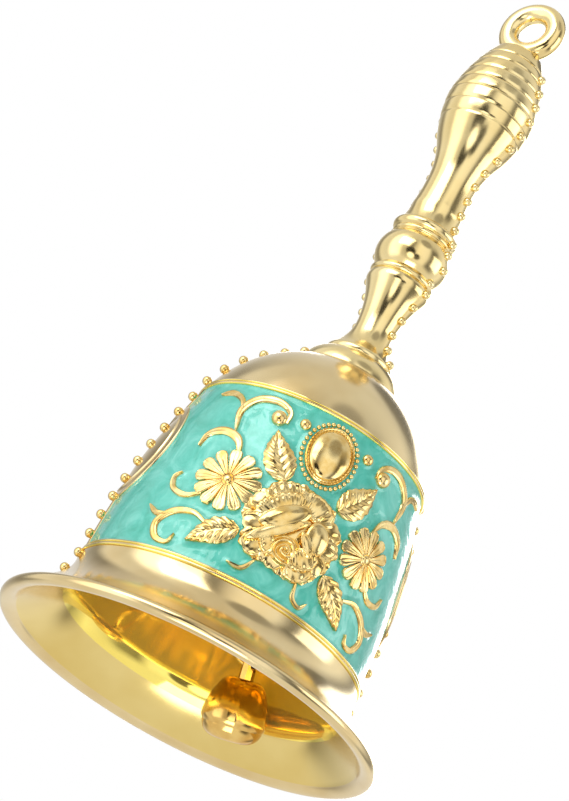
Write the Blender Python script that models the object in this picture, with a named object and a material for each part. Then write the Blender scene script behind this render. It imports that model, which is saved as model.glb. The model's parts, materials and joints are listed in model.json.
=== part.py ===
"""Ornate table handbell: cast cup with two enamelled fields, cast handle, and a clapper on a wire chain.

The bell stands on its lip at z = 0 with its axis along +Z. The enamelled front faces -Y, and the two bead
rows of the cup run up its sides at +X and -X. Sizes are in metres, and angles are in degrees.
"""
import math

import bmesh
import bpy
from mathutils import Matrix, Vector

# ---- Fits ----
GAP = 0.0003                    # clearance between pieces that touch

# ---- Cup, from the lip up ----
MOUTH_RADIUS = 0.0300           # outermost radius of the lip
LIP_ROLL = 0.00085              # radius of the rolled edge of the lip
LIP_FACE = 0.0010               # width of the flat ring that the bell stands on
WALL = 0.0018                   # thickness of the cast wall
FLARE_HEIGHT = 0.0098           # lip to the plain band
BAND_RADIUS = 0.0226            # radius where the flare ends
BAND_HEIGHT = 0.0009            # plain band under the enamel field
FOOT_BORDER_HEIGHT = 0.0010     # raised border rings below and above the enamel field
HEAD_BORDER_HEIGHT = 0.0009
BORDER_PROUD = 0.00035          # how far the rings stand out of the field
FIELD_HEIGHT = 0.0296           # enamel field between the two rings
FIELD_FOOT_RADIUS = 0.0223
FIELD_HEAD_RADIUS = 0.01835
FIELD_BULGE = 0.0010            # how far the field swells out of a straight cone
DOME_HEIGHT = 0.0120
DOME_BULGE = 0.00155
CONE_FOOT_RADIUS = 0.0082
CONE_HEAD_RADIUS = 0.00575
CONE_HEIGHT = 0.0034

# ---- Enamel ----
ENAMEL_THICKNESS = 0.00045
ENAMEL_BED = 0.0008             # depth of the sunk bed under the field's surface
RIB_WIDTH = 0.0012              # plain strip under each bead row
MEDALLION_HALF_WIDTH = 0.0074   # side medallion, measured round the cup
MEDALLION_HALF_HEIGHT = 0.0089
MEDALLION_RISE = 0.0169         # its centre above the foot of the field
MEDALLION_PROUD = 0.00025

# ---- Beads ----
BEAD_RADIUS = 0.00072
BEAD_SEAT = 0.00030             # height of a bead's centre over the surface
CUP_BEAD_PITCH = 0.0033
HANDLE_BEAD_PITCH = 0.0028
CUP_BEAD_START = 0.0080         # first bead along the cup's outline, from the lip
HANDLE_BEAD_START = 0.0012

# ---- Handle, from its foot up ----
HANDLE_TURN = 47.5              # heading of its front bead row, from -Y towards +X
FOOT_FLANGE_RADIUS = 0.00545
FOOT_FLANGE_HEIGHT = 0.00075
NECK_RADIUS = 0.00312
NECK_RISE = 0.0069              # heights of the turned features above the foot
LOW_COLLAR_RADIUS = 0.0050      # foot of the low collar, which swells a little more
LOW_COLLAR_RISE = 0.0135
COLLAR_SWELL = 0.0004
GROOVE_RADIUS = 0.00475         # grooves below and above the ball
LOW_GROOVE_RISE = 0.0160
BALL_RADIUS = 0.00587
HIGH_GROOVE_RISE = 0.0225
HIGH_COLLAR_SWELL = 0.0007
HIGH_COLLAR_HEAD_RADIUS = 0.00465
HIGH_COLLAR_HEAD_RISE = 0.0265
WAIST_RADIUS = 0.00387
WAIST_RISE = 0.0336
SWELL_RADIUS = 0.00543
SWELL_RISE = 0.0401
GRIP_RADIUS = 0.00725
GRIP_RISE = 0.0484
TOP_NECK_RADIUS = 0.00415
TOP_NECK_RISE = 0.0590
RING_RADIUS = 0.00385           # hanging ring, centre of its round section
RING_SECTION = 0.0016
RING_RISE = 0.0644              # its centre above the foot
CAP_RISE = 0.0612               # rounded cap under the ring
CAP_SWELL = 0.0008

# ---- Eye bolt, washer and nut ----
BOLT_RADIUS = 0.0015
BOLT_ENGAGEMENT = 0.0060        # length of the bolt inside the handle
EYE_RADIUS = 0.0023             # centre of the eye's wire
EYE_WIRE = 0.00055
WASHER_RADIUS = 0.0042
WASHER_THICKNESS = 0.0007
NUT_ACROSS_FLATS = 0.0055
NUT_THICKNESS = 0.0022

# ---- Clapper chain ----
WIRE = 0.00035                  # wire radius of the link and the ring
LINK_WIDTH = 0.0044             # long link, between the centres of its two sides
LINK_DROP = 0.0268              # hinge in the eye to the lower bend's wire
CHAIN_RING_RADIUS = 0.0040
STEM_WIDTH = 0.0023
STEM_HOLE_RADIUS = 0.00078
STEM_HEAD = 0.0012              # stem above its hole
STEM_LENGTH = 0.0021            # hole to the top of the weight
WEIGHT_HEIGHT = 0.0093
WEIGHT_RADIUS = 0.0050
WEIGHT_TOP_RADIUS = 0.0026
WEIGHT_BASE_RADIUS = 0.0020
WEIGHT_WIDEST = 0.0034          # widest ring above the base
CHAIN_HEADING = 48.8            # direction in which the clapper leans, from +X towards +Y
CHAIN_LEAN = 22.5               # its lean at rest, against the wall of the cup

# ---- Mesh fineness ----
CUP_SEGMENTS = 60
HANDLE_SEGMENTS = 32
SMALL_SEGMENTS = 24

# ---- Heights that follow ----
BAND_Z = FLARE_HEIGHT
LOW_BORDER_Z = BAND_Z + BAND_HEIGHT
FIELD_FOOT_Z = LOW_BORDER_Z + FOOT_BORDER_HEIGHT
FIELD_HEAD_Z = FIELD_FOOT_Z + FIELD_HEIGHT
DOME_FOOT_Z = FIELD_HEAD_Z + HEAD_BORDER_HEIGHT
CONE_FOOT_Z = DOME_FOOT_Z + DOME_HEIGHT
CUP_TOP_Z = CONE_FOOT_Z + CONE_HEIGHT
CEILING_Z = CONE_FOOT_Z - WALL
HANDLE_Z = CUP_TOP_Z + GAP
HEADING = Vector((math.cos(math.radians(CHAIN_HEADING)), math.sin(math.radians(CHAIN_HEADING)), 0))
SWING_AXIS = HEADING.cross(Vector((0, 0, 1)))
EYE_Z = CEILING_Z - 2 * GAP - WASHER_THICKNESS - NUT_THICKNESS - GAP - EYE_RADIUS - 2 * EYE_WIRE
LINK_HINGE_Z = EYE_Z - EYE_RADIUS
LOOP_PITCH = EYE_WIRE + WIRE + GAP          # wire centre to wire centre where the link hangs in the eye
RING_PITCH = 2 * WIRE + GAP                 # the same where the ring hangs in the link


# ---- Outlines: lists of (radius, height) ----

def arc(start, end, bulge, steps):
    """Points of a circular arc after start, up to end, bulging to the right of the way from start to end."""
    start, end = Vector(start), Vector(end)
    chord = end - start
    if abs(bulge) < 1e-7:
        return [tuple(start.lerp(end, step / steps)) for step in range(1, steps + 1)]
    side = Vector((chord.y, -chord.x)).normalized()
    radius = (chord.length ** 2 / 4 + bulge ** 2) / (2 * bulge)
    centre = (start + end) / 2 + side * (bulge - radius)
    first, last = start - centre, end - centre
    sweep = first.angle_signed(last)
    points = [centre + Matrix.Rotation(-sweep * step / steps, 2) @ first for step in range(1, steps)]
    return [tuple(point) for point in points] + [tuple(end)]


def field_arc(inset, steps=8):
    """The enamel field's outline from foot to head, inset from its surface."""
    foot = (FIELD_FOOT_RADIUS - inset, FIELD_FOOT_Z)
    head = (FIELD_HEAD_RADIUS - inset, FIELD_HEAD_Z)
    return [foot] + arc(foot, head, FIELD_BULGE, steps)


def radius_at(outline, height):
    """Radius of a rising outline at a height."""
    for (low_r, low_z), (high_r, high_z) in zip(outline, outline[1:]):
        if low_z <= height <= high_z:
            return low_r + (high_r - low_r) * (height - low_z) / (high_z - low_z)
    return outline[0][0] if height < outline[0][1] else outline[-1][0]


def walk(outline, first, pitch):
    """Evenly spaced places along an outline, as (point, outward normal)."""
    places = []
    travelled, target = 0.0, first
    for start, end in zip(outline, outline[1:]):
        start, end = Vector(start), Vector(end)
        length = (end - start).length
        while length > 0 and target <= travelled + length:
            direction = (end - start) / length
            places.append((start + direction * (target - travelled), Vector((direction.y, -direction.x))))
            target += pitch
        travelled += length
    return places


def flare_outline(inset, steps=6):
    """Outside of the flare from the lip to the plain band; its inside is the same curve, inset."""
    lip_radius = MOUTH_RADIUS - LIP_ROLL
    points = []
    for step in range(steps + 1):
        share = step / steps
        radius = BAND_RADIUS + (lip_radius - BAND_RADIUS) * (1 - share) ** 2
        points.append((radius - inset, 2 * LIP_ROLL + (FLARE_HEIGHT - 2 * LIP_ROLL) * share))
    return points


def cup_outside():
    """Outline of the cup's outer face, from the top of the lip up to the head of the cone."""
    outline = flare_outline(0)
    outline.append((BAND_RADIUS, LOW_BORDER_Z))
    outline.append((FIELD_FOOT_RADIUS + BORDER_PROUD, LOW_BORDER_Z + BORDER_PROUD))
    outline.append((FIELD_FOOT_RADIUS + BORDER_PROUD, FIELD_FOOT_Z))
    outline += field_arc(ENAMEL_BED)
    outline.append((FIELD_HEAD_RADIUS + BORDER_PROUD, FIELD_HEAD_Z))
    outline.append((FIELD_HEAD_RADIUS + BORDER_PROUD, DOME_FOOT_Z - BORDER_PROUD))
    outline.append((FIELD_HEAD_RADIUS, DOME_FOOT_Z))
    outline += arc((FIELD_HEAD_RADIUS, DOME_FOOT_Z), (CONE_FOOT_RADIUS, CONE_FOOT_Z), DOME_BULGE, 7)
    outline.append((CONE_HEAD_RADIUS, CUP_TOP_Z))
    return outline


def cup_inside():
    """Outline of the cup's inner face, from the ceiling down to the lip."""
    dome_foot = (FIELD_HEAD_RADIUS - WALL, FIELD_HEAD_Z)
    ceiling = (CONE_FOOT_RADIUS - WALL, CEILING_Z)
    dome = [dome_foot] + arc(dome_foot, ceiling, DOME_BULGE, 6)
    flare = flare_outline(WALL)
    field = field_arc(WALL, 5)
    low = [(radius, height - LIP_ROLL) for radius, height in flare]
    return list(reversed(low + field[:-1] + dome))


def cup_outline():
    """Closed outline of the cup: up the outside, in over the crown, down the bolt hole and the inside."""
    roll_centre = Vector((MOUTH_RADIUS - LIP_ROLL, LIP_ROLL))
    roll = []
    for step in range(5):
        angle = math.radians(-90 + 180 * step / 4)
        roll.append(tuple(roll_centre + LIP_ROLL * Vector((math.cos(angle), math.sin(angle)))))
    hole = BOLT_RADIUS + GAP
    crown = [(hole, CUP_TOP_Z), (hole, CEILING_Z)]
    inside = cup_inside()
    foot = [(MOUTH_RADIUS - LIP_ROLL - LIP_FACE, 0.0)]
    return roll + cup_outside()[1:] + crown + inside + foot


def handle_stations():
    """Outline of the handle's outside, from its foot to the top neck, in the cup's frame."""
    def at(radius, rise):
        return (radius, HANDLE_Z + rise)

    flange_edge = at(FOOT_FLANGE_RADIUS, FOOT_FLANGE_HEIGHT)
    flange_top = at(FOOT_FLANGE_RADIUS - 0.0004, FOOT_FLANGE_HEIGHT + 0.0002)
    neck = at(NECK_RADIUS, NECK_RISE)
    low_collar = at(LOW_COLLAR_RADIUS, LOW_COLLAR_RISE)
    low_groove = at(GROOVE_RADIUS, LOW_GROOVE_RISE)
    high_groove = at(GROOVE_RADIUS, HIGH_GROOVE_RISE)
    collar_head = at(HIGH_COLLAR_HEAD_RADIUS, HIGH_COLLAR_HEAD_RISE)
    waist = at(WAIST_RADIUS, WAIST_RISE)
    swell = at(SWELL_RADIUS, SWELL_RISE)
    grip = at(GRIP_RADIUS, GRIP_RISE)
    top_neck = at(TOP_NECK_RADIUS, TOP_NECK_RISE)
    outline = [at(FOOT_FLANGE_RADIUS, 0), flange_edge, flange_top]
    outline += arc(flange_top, neck, -0.0006, 5)
    outline += arc(neck, low_collar, -0.0003, 5)
    outline += arc(low_collar, low_groove, COLLAR_SWELL, 4)
    outline += arc(low_groove, high_groove, BALL_RADIUS - GROOVE_RADIUS, 8)
    outline += arc(high_groove, collar_head, HIGH_COLLAR_SWELL, 5)
    outline += arc(collar_head, waist, -0.00015, 3)
    outline += arc(waist, swell, -0.00033, 4)
    outline += arc(swell, grip, 0.0004, 5)
    outline += arc(grip, top_neck, 0.0007, 8)
    return outline


# ---- Mesh builders ----

def add_object(name, mesh):
    """Link a mesh to the scene as one named sub-part, shaded smooth with its creases kept sharp."""
    mesh.shade_smooth()
    mesh.set_sharp_from_angle(angle=math.radians(35))
    part = bpy.data.objects.new(name, mesh)
    bpy.context.scene.collection.objects.link(part)
    return part


def finish_mesh(name, work):
    """Merge doubles, turn all faces out and store a bmesh as a mesh."""
    bmesh.ops.remove_doubles(work, verts=work.verts, dist=1e-7)
    bmesh.ops.recalc_face_normals(work, faces=work.faces)
    mesh = bpy.data.meshes.new(name)
    work.to_mesh(mesh)
    work.free()
    return mesh


def turned_mesh(name, outline, segments, closed):
    """Spin an outline of (radius, height) about Z; a closed one makes a hollow piece."""
    work = bmesh.new()
    verts = [work.verts.new((radius, 0, height)) for radius, height in outline]
    pairs = list(zip(verts, verts[1:])) + ([(verts[-1], verts[0])] if closed else [])
    edges = [work.edges.new(pair) for pair in pairs]
    bmesh.ops.spin(work, geom=verts + edges, cent=(0, 0, 0), axis=(0, 0, 1), angle=math.tau,
                   steps=segments, use_merge=True)
    return finish_mesh(name, work)


def tube_mesh(name, path, section, sides, turn=None):
    """Closed loop of round wire along a closed list of points that lie in one plane."""
    centre = sum(path, Vector()) / len(path)
    plane = (path[0] - centre).cross(path[len(path) // 4] - centre).normalized()
    work = bmesh.new()
    rings = []
    for before, point, after in zip(path[-1:] + path[:-1], path, path[1:] + path[:1]):
        along = (after - before).normalized()
        out = along.cross(plane)
        ring = []
        for side in range(sides):
            angle = math.tau * side / sides
            ring.append(work.verts.new(point + section * (math.cos(angle) * out + math.sin(angle) * plane)))
        rings.append(ring)
    for ring, following in zip(rings, rings[1:] + rings[:1]):
        for side in range(sides):
            other = (side + 1) % sides
            work.faces.new((ring[side], ring[other], following[other], following[side]))
    if turn:
        bmesh.ops.transform(work, matrix=turn, verts=work.verts)
    return finish_mesh(name, work)


def circle_path(centre, radius, across, up, count):
    """Points of a circle in the plane of two directions."""
    angles = [math.tau * step / count for step in range(count)]
    return [centre + radius * (math.cos(a) * across + math.sin(a) * up) for a in angles]


def bead_mesh(name, places, heading):
    """Small balls at places of an outline, on both sides of the piece, in the plane of a heading."""
    work = bmesh.new()
    for side in (1, -1):
        for point, normal in places:
            seat = point + normal * BEAD_SEAT
            spot = Vector((side * seat.x * heading.x, side * seat.x * heading.y, seat.y))
            bmesh.ops.create_uvsphere(work, u_segments=8, v_segments=4, radius=BEAD_RADIUS,
                                      matrix=Matrix.Translation(spot))
    return finish_mesh(name, work)


def join_solids(part, tool_mesh, operation):
    """Unite a part with a cutter's mesh, or cut it, through a live Boolean with the exact solver."""
    tool = bpy.data.objects.new(tool_mesh.name, tool_mesh)
    bpy.context.scene.collection.objects.link(tool)
    tool.hide_render = True
    tool.display_type = 'WIRE'
    modifier = part.modifiers.new(tool_mesh.name, 'BOOLEAN')
    modifier.operation = operation
    modifier.solver = 'EXACT'
    modifier.object = tool


def set_material(part, name, colour, roughness, metallic):
    """Give a part its own Principled material."""
    material = bpy.data.materials.new(name)
    material.use_nodes = True
    shader = material.node_tree.nodes["Principled BSDF"]
    shader.inputs["Base Color"].default_value = (*colour, 1)
    shader.inputs["Roughness"].default_value = roughness
    shader.inputs["Metallic"].default_value = metallic
    part.data.materials.clear()
    part.data.materials.append(material)


# ---- Cup ----

def on_cup(outline, angle, height, lift):
    """Point over the cup at an angle from -Y towards +X, lifted off a rising outline."""
    radius = radius_at(outline, height) + lift
    return Vector((radius * math.sin(angle), -radius * math.cos(angle), height))


def medallion_half_angle(height, grow):
    """Half the angle that a side medallion covers at a height, grown by a margin."""
    middle = FIELD_FOOT_Z + MEDALLION_RISE
    share = (height - middle) / (MEDALLION_HALF_HEIGHT + grow)
    if abs(share) >= 1:
        return 0.0
    half_width = (MEDALLION_HALF_WIDTH + grow) * math.sqrt(1 - share ** 2)
    return half_width / radius_at(field_arc(0), height)


def side_half_angle(height, grow):
    """Half the angle that the plain metal at each side covers: medallion or bead rib, whichever is wider."""
    rib = (RIB_WIDTH / 2 + grow) / radius_at(field_arc(0), height)
    return max(rib, medallion_half_angle(height, grow))


def patch_mesh(name, heights, half_angle, middle, low, high, across):
    """Closed curved plate over the cup: half_angle gives its half width at each height."""
    outline = field_arc(0)
    work = bmesh.new()
    layers = []
    for lift in (low, high):
        rows = []
        for height in heights:
            half = half_angle(height)
            angles = [middle + half * (2 * step / across - 1) for step in range(across + 1)]
            rows.append([work.verts.new(on_cup(outline, angle, height, lift)) for angle in angles])
        layers.append(rows)
    inner, outer = layers
    last_row, last_column = len(heights) - 1, across
    for rows in layers:
        for row, above in zip(rows, rows[1:]):
            for column in range(across):
                work.faces.new((row[column], row[column + 1], above[column + 1], above[column]))
    for row in range(last_row):
        for column in (0, last_column):
            work.faces.new((inner[row][column], inner[row + 1][column], outer[row + 1][column],
                            outer[row][column]))
    for row in (0, last_row):
        for column in range(across):
            work.faces.new((inner[row][column], inner[row][column + 1], outer[row][column + 1],
                            outer[row][column]))
    return finish_mesh(name, work)


def field_heights(margin, grow):
    """Heights across the enamel field, at a margin from its two border rings, closer at the medallions' ends."""
    low, high = FIELD_FOOT_Z + margin, FIELD_HEAD_Z - margin
    middle = FIELD_FOOT_Z + MEDALLION_RISE
    reach = MEDALLION_HALF_HEIGHT + grow
    ends = [middle - reach * math.cos(math.pi * step / 12) for step in range(13)]
    below = [low + (ends[0] - low) * step / 3 for step in range(3)]
    above = [ends[-1] + (high - ends[-1]) * step / 2 for step in (1, 2)]
    return below + ends + above


def build_cup():
    """Cast cup with border rings, side ribs, medallions and bead rows."""
    cup = add_object("bell_cup", turned_mesh("bell_cup", cup_outline(), CUP_SEGMENTS, closed=True))
    sink = -ENAMEL_BED - 0.0003
    for side, middle in (("right", math.pi / 2), ("left", -math.pi / 2)):
        pad = patch_mesh(f"side_pad_{side}", field_heights(-BORDER_PROUD, 0),
                         lambda height: side_half_angle(height, 0), middle, sink, MEDALLION_PROUD, 8)
        join_solids(cup, pad, 'UNION')
    places = walk(cup_outside(), CUP_BEAD_START, CUP_BEAD_PITCH)
    join_solids(cup, bead_mesh("cup_beads", bead_places_on_cup(places), Vector((1, 0, 0))), 'UNION')
    set_material(cup, "satin_gold_casting", (0.76, 0.60, 0.30), 0.22, 1.0)


def bead_places_on_cup(places):
    """The cup's bead places, brought out from the sunk bed to the surface of the ribs and medallions."""
    outline = field_arc(0)
    lifted = []
    for point, normal in places:
        if FIELD_FOOT_Z <= point.y <= FIELD_HEAD_Z:
            point = Vector((radius_at(outline, point.y) + MEDALLION_PROUD, point.y))
        if point.y + BEAD_RADIUS + 2 * BEAD_SEAT < CUP_TOP_Z:
            lifted.append((point, normal))
    return lifted


def build_enamel():
    """Front and back enamel fills, each in its sunk bed between the two sides' plain metal."""
    for name, middle in (("enamel_front", 0.0), ("enamel_back", math.pi)):
        low = GAP - ENAMEL_BED
        mesh = patch_mesh(name, field_heights(GAP, GAP),
                          lambda height: math.pi / 2 - side_half_angle(height, GAP),
                          middle, low, low + ENAMEL_THICKNESS, 20)
        set_material(add_object(name, mesh), "turquoise_enamel", (0.12, 0.70, 0.55), 0.2, 0.0)


# ---- Handle ----

def build_handle():
    """Cast handle with a socket for the eye bolt, a hanging ring and two bead rows."""
    socket = BOLT_RADIUS + GAP
    socket_top = HANDLE_Z + BOLT_ENGAGEMENT + GAP
    outside = handle_stations()
    outline = [(0, socket_top), (socket, socket_top), (socket, HANDLE_Z)] + outside
    outline += arc(outside[-1], (0, HANDLE_Z + CAP_RISE), CAP_SWELL, 5)
    handle = add_object("handle", turned_mesh("handle", outline, HANDLE_SEGMENTS, closed=False))
    turn = math.radians(HANDLE_TURN)
    heading = Vector((math.sin(turn), -math.cos(turn), 0))
    ring_z = HANDLE_Z + RING_RISE
    path = circle_path(Vector((0, 0, ring_z)), RING_RADIUS, heading, Vector((0, 0, 1)), 36)
    join_solids(handle, tube_mesh("hanging_ring", path, RING_SECTION, 14), 'UNION')
    places = walk(outside, HANDLE_BEAD_START + FOOT_FLANGE_HEIGHT, HANDLE_BEAD_PITCH)
    join_solids(handle, bead_mesh("handle_beads", places, heading), 'UNION')
    set_material(handle, "polished_gold_casting", (0.83, 0.62, 0.26), 0.1, 1.0)


# ---- Fasteners ----

def build_fasteners():
    """Washer, hex nut and eye bolt that clamp the cup to the handle and carry the clapper."""
    washer_top = CEILING_Z - GAP
    nut_top = washer_top - WASHER_THICKNESS - GAP
    hole = BOLT_RADIUS + GAP
    for name, top, thickness, radius, segments in (
            ("crown_washer", washer_top, WASHER_THICKNESS, WASHER_RADIUS, SMALL_SEGMENTS),
            ("bolt_nut", nut_top, NUT_THICKNESS, NUT_ACROSS_FLATS / math.sqrt(3), 6)):
        shell = turned_mesh(name, [(0, top), (radius, top), (radius, top - thickness), (0, top - thickness)],
                            segments, closed=False)
        part = add_object(name, shell)
        bore = turned_mesh(name + "_bore", [(0, top + 0.001), (hole, top + 0.001),
                                            (hole, top - thickness - 0.001), (0, top - thickness - 0.001)],
                           SMALL_SEGMENTS, closed=False)
        join_solids(part, bore, 'DIFFERENCE')
        set_material(part, "plated_steel_" + name, (0.80, 0.62, 0.30), 0.25, 1.0)
    bolt_top = HANDLE_Z + BOLT_ENGAGEMENT
    bolt_foot = EYE_Z + EYE_RADIUS
    bolt = add_object("eye_bolt", turned_mesh("eye_bolt", [
        (0, bolt_top), (BOLT_RADIUS - 0.0003, bolt_top), (BOLT_RADIUS, bolt_top - 0.0003),
        (BOLT_RADIUS, bolt_foot + 0.0003), (BOLT_RADIUS - 0.0003, bolt_foot), (0, bolt_foot)],
        SMALL_SEGMENTS, closed=False))
    path = circle_path(Vector((0, 0, EYE_Z)), EYE_RADIUS, SWING_AXIS, Vector((0, 0, 1)), 32)
    join_solids(bolt, tube_mesh("eye_loop", path, EYE_WIRE, 12), 'UNION')
    set_material(bolt, "plated_steel_eye_bolt", (0.80, 0.62, 0.30), 0.2, 1.0)


# ---- Clapper chain: built hanging straight down, then leaned together about the hinge in the eye ----

def chain_lean():
    """Turn about the hinge in the eye that leans the hanging chain towards its heading."""
    hinge = Vector((0, 0, LINK_HINGE_Z))
    swing = Matrix.Rotation(math.radians(CHAIN_LEAN), 4, SWING_AXIS)
    return Matrix.Translation(hinge) @ swing @ Matrix.Translation(-hinge)


def hinged_object(name, mesh, hinge_z):
    """Sub-part whose origin lies on its hinge, placed by the lean of the whole chain."""
    mesh.transform(Matrix.Translation((0, 0, -hinge_z)))
    part = add_object(name, mesh)
    part.matrix_world = chain_lean() @ Matrix.Translation((0, 0, hinge_z))
    return part


def build_link():
    """Long wire link: two straight sides and two half-round bends, in the plane of the lean."""
    half = LINK_WIDTH / 2
    top = LINK_HINGE_Z + LOOP_PITCH
    bottom = LINK_HINGE_Z - LINK_DROP
    path = []
    for centre_z, first in ((top - half, 0), (bottom + half, 180)):
        for step in range(11):
            angle = math.radians(first + 18 * step)
            path.append(HEADING * half * math.cos(angle) + Vector((0, 0, centre_z + half * math.sin(angle))))
    part = hinged_object("clapper_link", tube_mesh("clapper_link", path, WIRE, 8), LINK_HINGE_Z)
    set_material(part, "plated_wire_link", (0.80, 0.60, 0.25), 0.15, 1.0)
    return bottom


def build_ring(link_wire_z):
    """Round wire ring hung in the lower bend of the long link, square to it."""
    centre_z = link_wire_z + RING_PITCH - CHAIN_RING_RADIUS
    path = circle_path(Vector((0, 0, centre_z)), CHAIN_RING_RADIUS, SWING_AXIS, Vector((0, 0, 1)), 36)
    part = hinged_object("clapper_ring", tube_mesh("clapper_ring", path, WIRE, 8), link_wire_z)
    set_material(part, "plated_wire_ring", (0.80, 0.60, 0.25), 0.15, 1.0)
    return centre_z - CHAIN_RING_RADIUS


def build_clapper(hole_z):
    """Clapper casting: eight-sided stem with its hole along the swing axis, and a rounded weight."""
    weight_top = hole_z - STEM_LENGTH
    base = weight_top - WEIGHT_HEIGHT
    widest = (WEIGHT_RADIUS, base + WEIGHT_WIDEST)
    outline = [(0, weight_top), (WEIGHT_TOP_RADIUS * 0.5, weight_top)]
    shoulder = (WEIGHT_TOP_RADIUS + 0.0009, weight_top - 0.0011)
    outline += arc((WEIGHT_TOP_RADIUS * 0.5, weight_top), shoulder, -0.00035, 4)
    outline += arc(shoulder, widest, -0.00025, 6)
    outline += arc(widest, (WEIGHT_BASE_RADIUS, base), -0.0011, 7)
    outline.append((0, base))
    weight = turned_mesh("clapper", outline, 32, closed=False)
    part = hinged_object("clapper", weight, hole_z)
    stem = turned_mesh("clapper_stem", [
        (0, STEM_HEAD), (STEM_WIDTH * 0.38, STEM_HEAD), (STEM_WIDTH / 2, STEM_HEAD - 0.0003),
        (STEM_WIDTH / 2, -STEM_LENGTH - 0.0008), (0, -STEM_LENGTH - 0.0008)], 8, closed=False)
    bore = turned_mesh("stem_hole", [(0, STEM_WIDTH), (STEM_HOLE_RADIUS, STEM_WIDTH),
                                     (STEM_HOLE_RADIUS, -STEM_WIDTH), (0, -STEM_WIDTH)], 16, closed=False)
    flat = math.atan2(SWING_AXIS.y, SWING_AXIS.x) + math.pi / 8
    stem.transform(Matrix.Rotation(flat, 4, 'Z'))
    bore.transform(Matrix.Rotation(math.pi / 2, 4, HEADING))
    for mesh in (stem, bore):
        mesh.transform(part.matrix_world)
    join_solids(part, stem, 'UNION')
    join_solids(part, bore, 'DIFFERENCE')
    set_material(part, "polished_clapper_casting", (0.80, 0.60, 0.25), 0.1, 1.0)


def main():
    """Empty the scene and build the bell."""
    for old in list(bpy.data.objects):
        bpy.data.objects.remove(old)
    build_cup()
    build_enamel()
    build_handle()
    build_fasteners()
    link_wire_z = build_link()
    hole_z = build_ring(link_wire_z)
    build_clapper(hole_z)


main()
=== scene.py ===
"""Looks of the ornate table handbell: gold-plated castings, turquoise enamel and a clapper on a wire chain.

Lengths in the classes are millimetres; a mesh is turned to metres when it is made. The bell stands on its
lip at z = 0, its enamelled front faces -Y, and its two bead rows run up the sides at +X and -X.
"""

import json
import logging
import math
from dataclasses import dataclass
from enum import Enum
from typing import Callable

import bmesh
import bpy
import numpy as np
from mathutils import Matrix, Vector


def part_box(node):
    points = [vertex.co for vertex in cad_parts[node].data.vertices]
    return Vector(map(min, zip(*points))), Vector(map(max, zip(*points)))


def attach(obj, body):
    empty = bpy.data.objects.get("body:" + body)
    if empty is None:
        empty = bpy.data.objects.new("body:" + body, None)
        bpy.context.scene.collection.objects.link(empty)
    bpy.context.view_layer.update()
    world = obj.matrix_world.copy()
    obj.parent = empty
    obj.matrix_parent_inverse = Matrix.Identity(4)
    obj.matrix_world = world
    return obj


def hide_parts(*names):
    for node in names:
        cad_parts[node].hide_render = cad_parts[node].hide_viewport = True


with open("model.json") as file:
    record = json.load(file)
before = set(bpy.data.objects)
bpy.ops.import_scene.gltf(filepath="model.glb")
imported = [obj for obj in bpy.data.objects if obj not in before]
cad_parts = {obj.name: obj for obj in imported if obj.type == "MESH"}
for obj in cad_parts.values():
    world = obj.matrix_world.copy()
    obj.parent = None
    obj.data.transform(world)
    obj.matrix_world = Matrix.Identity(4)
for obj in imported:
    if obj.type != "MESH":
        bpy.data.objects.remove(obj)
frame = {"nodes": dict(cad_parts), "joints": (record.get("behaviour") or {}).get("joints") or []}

MM = 0.001
UP = Vector((0, 0, 1))
# Most of what a noise texture gives lies between these.
NOISE_LOW, NOISE_HIGH = 0.3, 0.7
Outline = list[tuple[float, float]]
Faces = list[tuple[int, ...]]
log = logging.getLogger("handbell")


class Body(Enum):
    """The rigid bodies that the pieces ride on."""

    BELL = "bell"
    LINK = "chain_link"
    RING = "chain_ring"
    CLAPPER = "clapper"


class Slot(Enum):
    """The record's material slots."""

    CUP = "cup_metal"
    HANDLE = "handle_metal"
    ENAMEL = "enamel"
    FASTENER = "fastener_metal"
    CHAIN = "chain_metal"
    CLAPPER = "clapper_metal"


class Side(Enum):
    """The two enamelled fields, by the turn about the bell's axis that faces them from the front."""

    FRONT = 0.0
    BACK = math.pi


# ---- Colour and nodes ----

def linear(hex_colour: str) -> tuple[float, float, float, float]:
    """Turn an sRGB hex colour to linear.

    Args:
        hex_colour: Six hex digits after a hash.
    Returns:
        Red, green, blue and an alpha of one.
    """
    channels = [int(hex_colour[i:i + 2], 16) / 255 for i in (1, 3, 5)]
    red, green, blue = [c / 12.92 if c <= 0.04045 else ((c + 0.055) / 1.055) ** 2.4 for c in channels]
    return red, green, blue, 1.0


def add_node(tree: bpy.types.NodeTree, kind: str, settings: dict | None = None,
             inputs: dict | None = None) -> bpy.types.Node:
    """Add one node to a shader or geometry tree.

    Args:
        tree: The tree that gets the node.
        kind: Blender's name of the node type.
        settings: Node properties by name.
        inputs: Values or output sockets for its inputs, by socket name or index.
    Returns:
        The new node.
    """
    node = tree.nodes.new(kind)
    for name, value in (settings or {}).items():
        setattr(node, name, value)
    for name, value in (inputs or {}).items():
        if isinstance(value, bpy.types.NodeSocket):
            tree.links.new(value, node.inputs[name])
        else:
            node.inputs[name].default_value = value
    return node


def set_ramp(node: bpy.types.Node, stops: list[tuple[float, tuple]]) -> bpy.types.NodeSocket:
    """Set the stops of a colour ramp and return its colour output."""
    elements = node.color_ramp.elements
    while len(elements) < len(stops):
        elements.new(0.5)
    for element, (position, colour) in zip(elements, stops):
        element.position = position
        element.color = colour
    return node.outputs["Color"]


def grey(level: float) -> tuple[float, float, float, float]:
    """A linear grey of one level."""
    return level, level, level, 1.0


def node_material(name: str) -> tuple[bpy.types.Material, bpy.types.NodeTree]:
    """Make a material with nodes, and give its tree as well."""
    material = bpy.data.materials.new(name)
    material.use_nodes = True
    return material, material.node_tree


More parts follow.
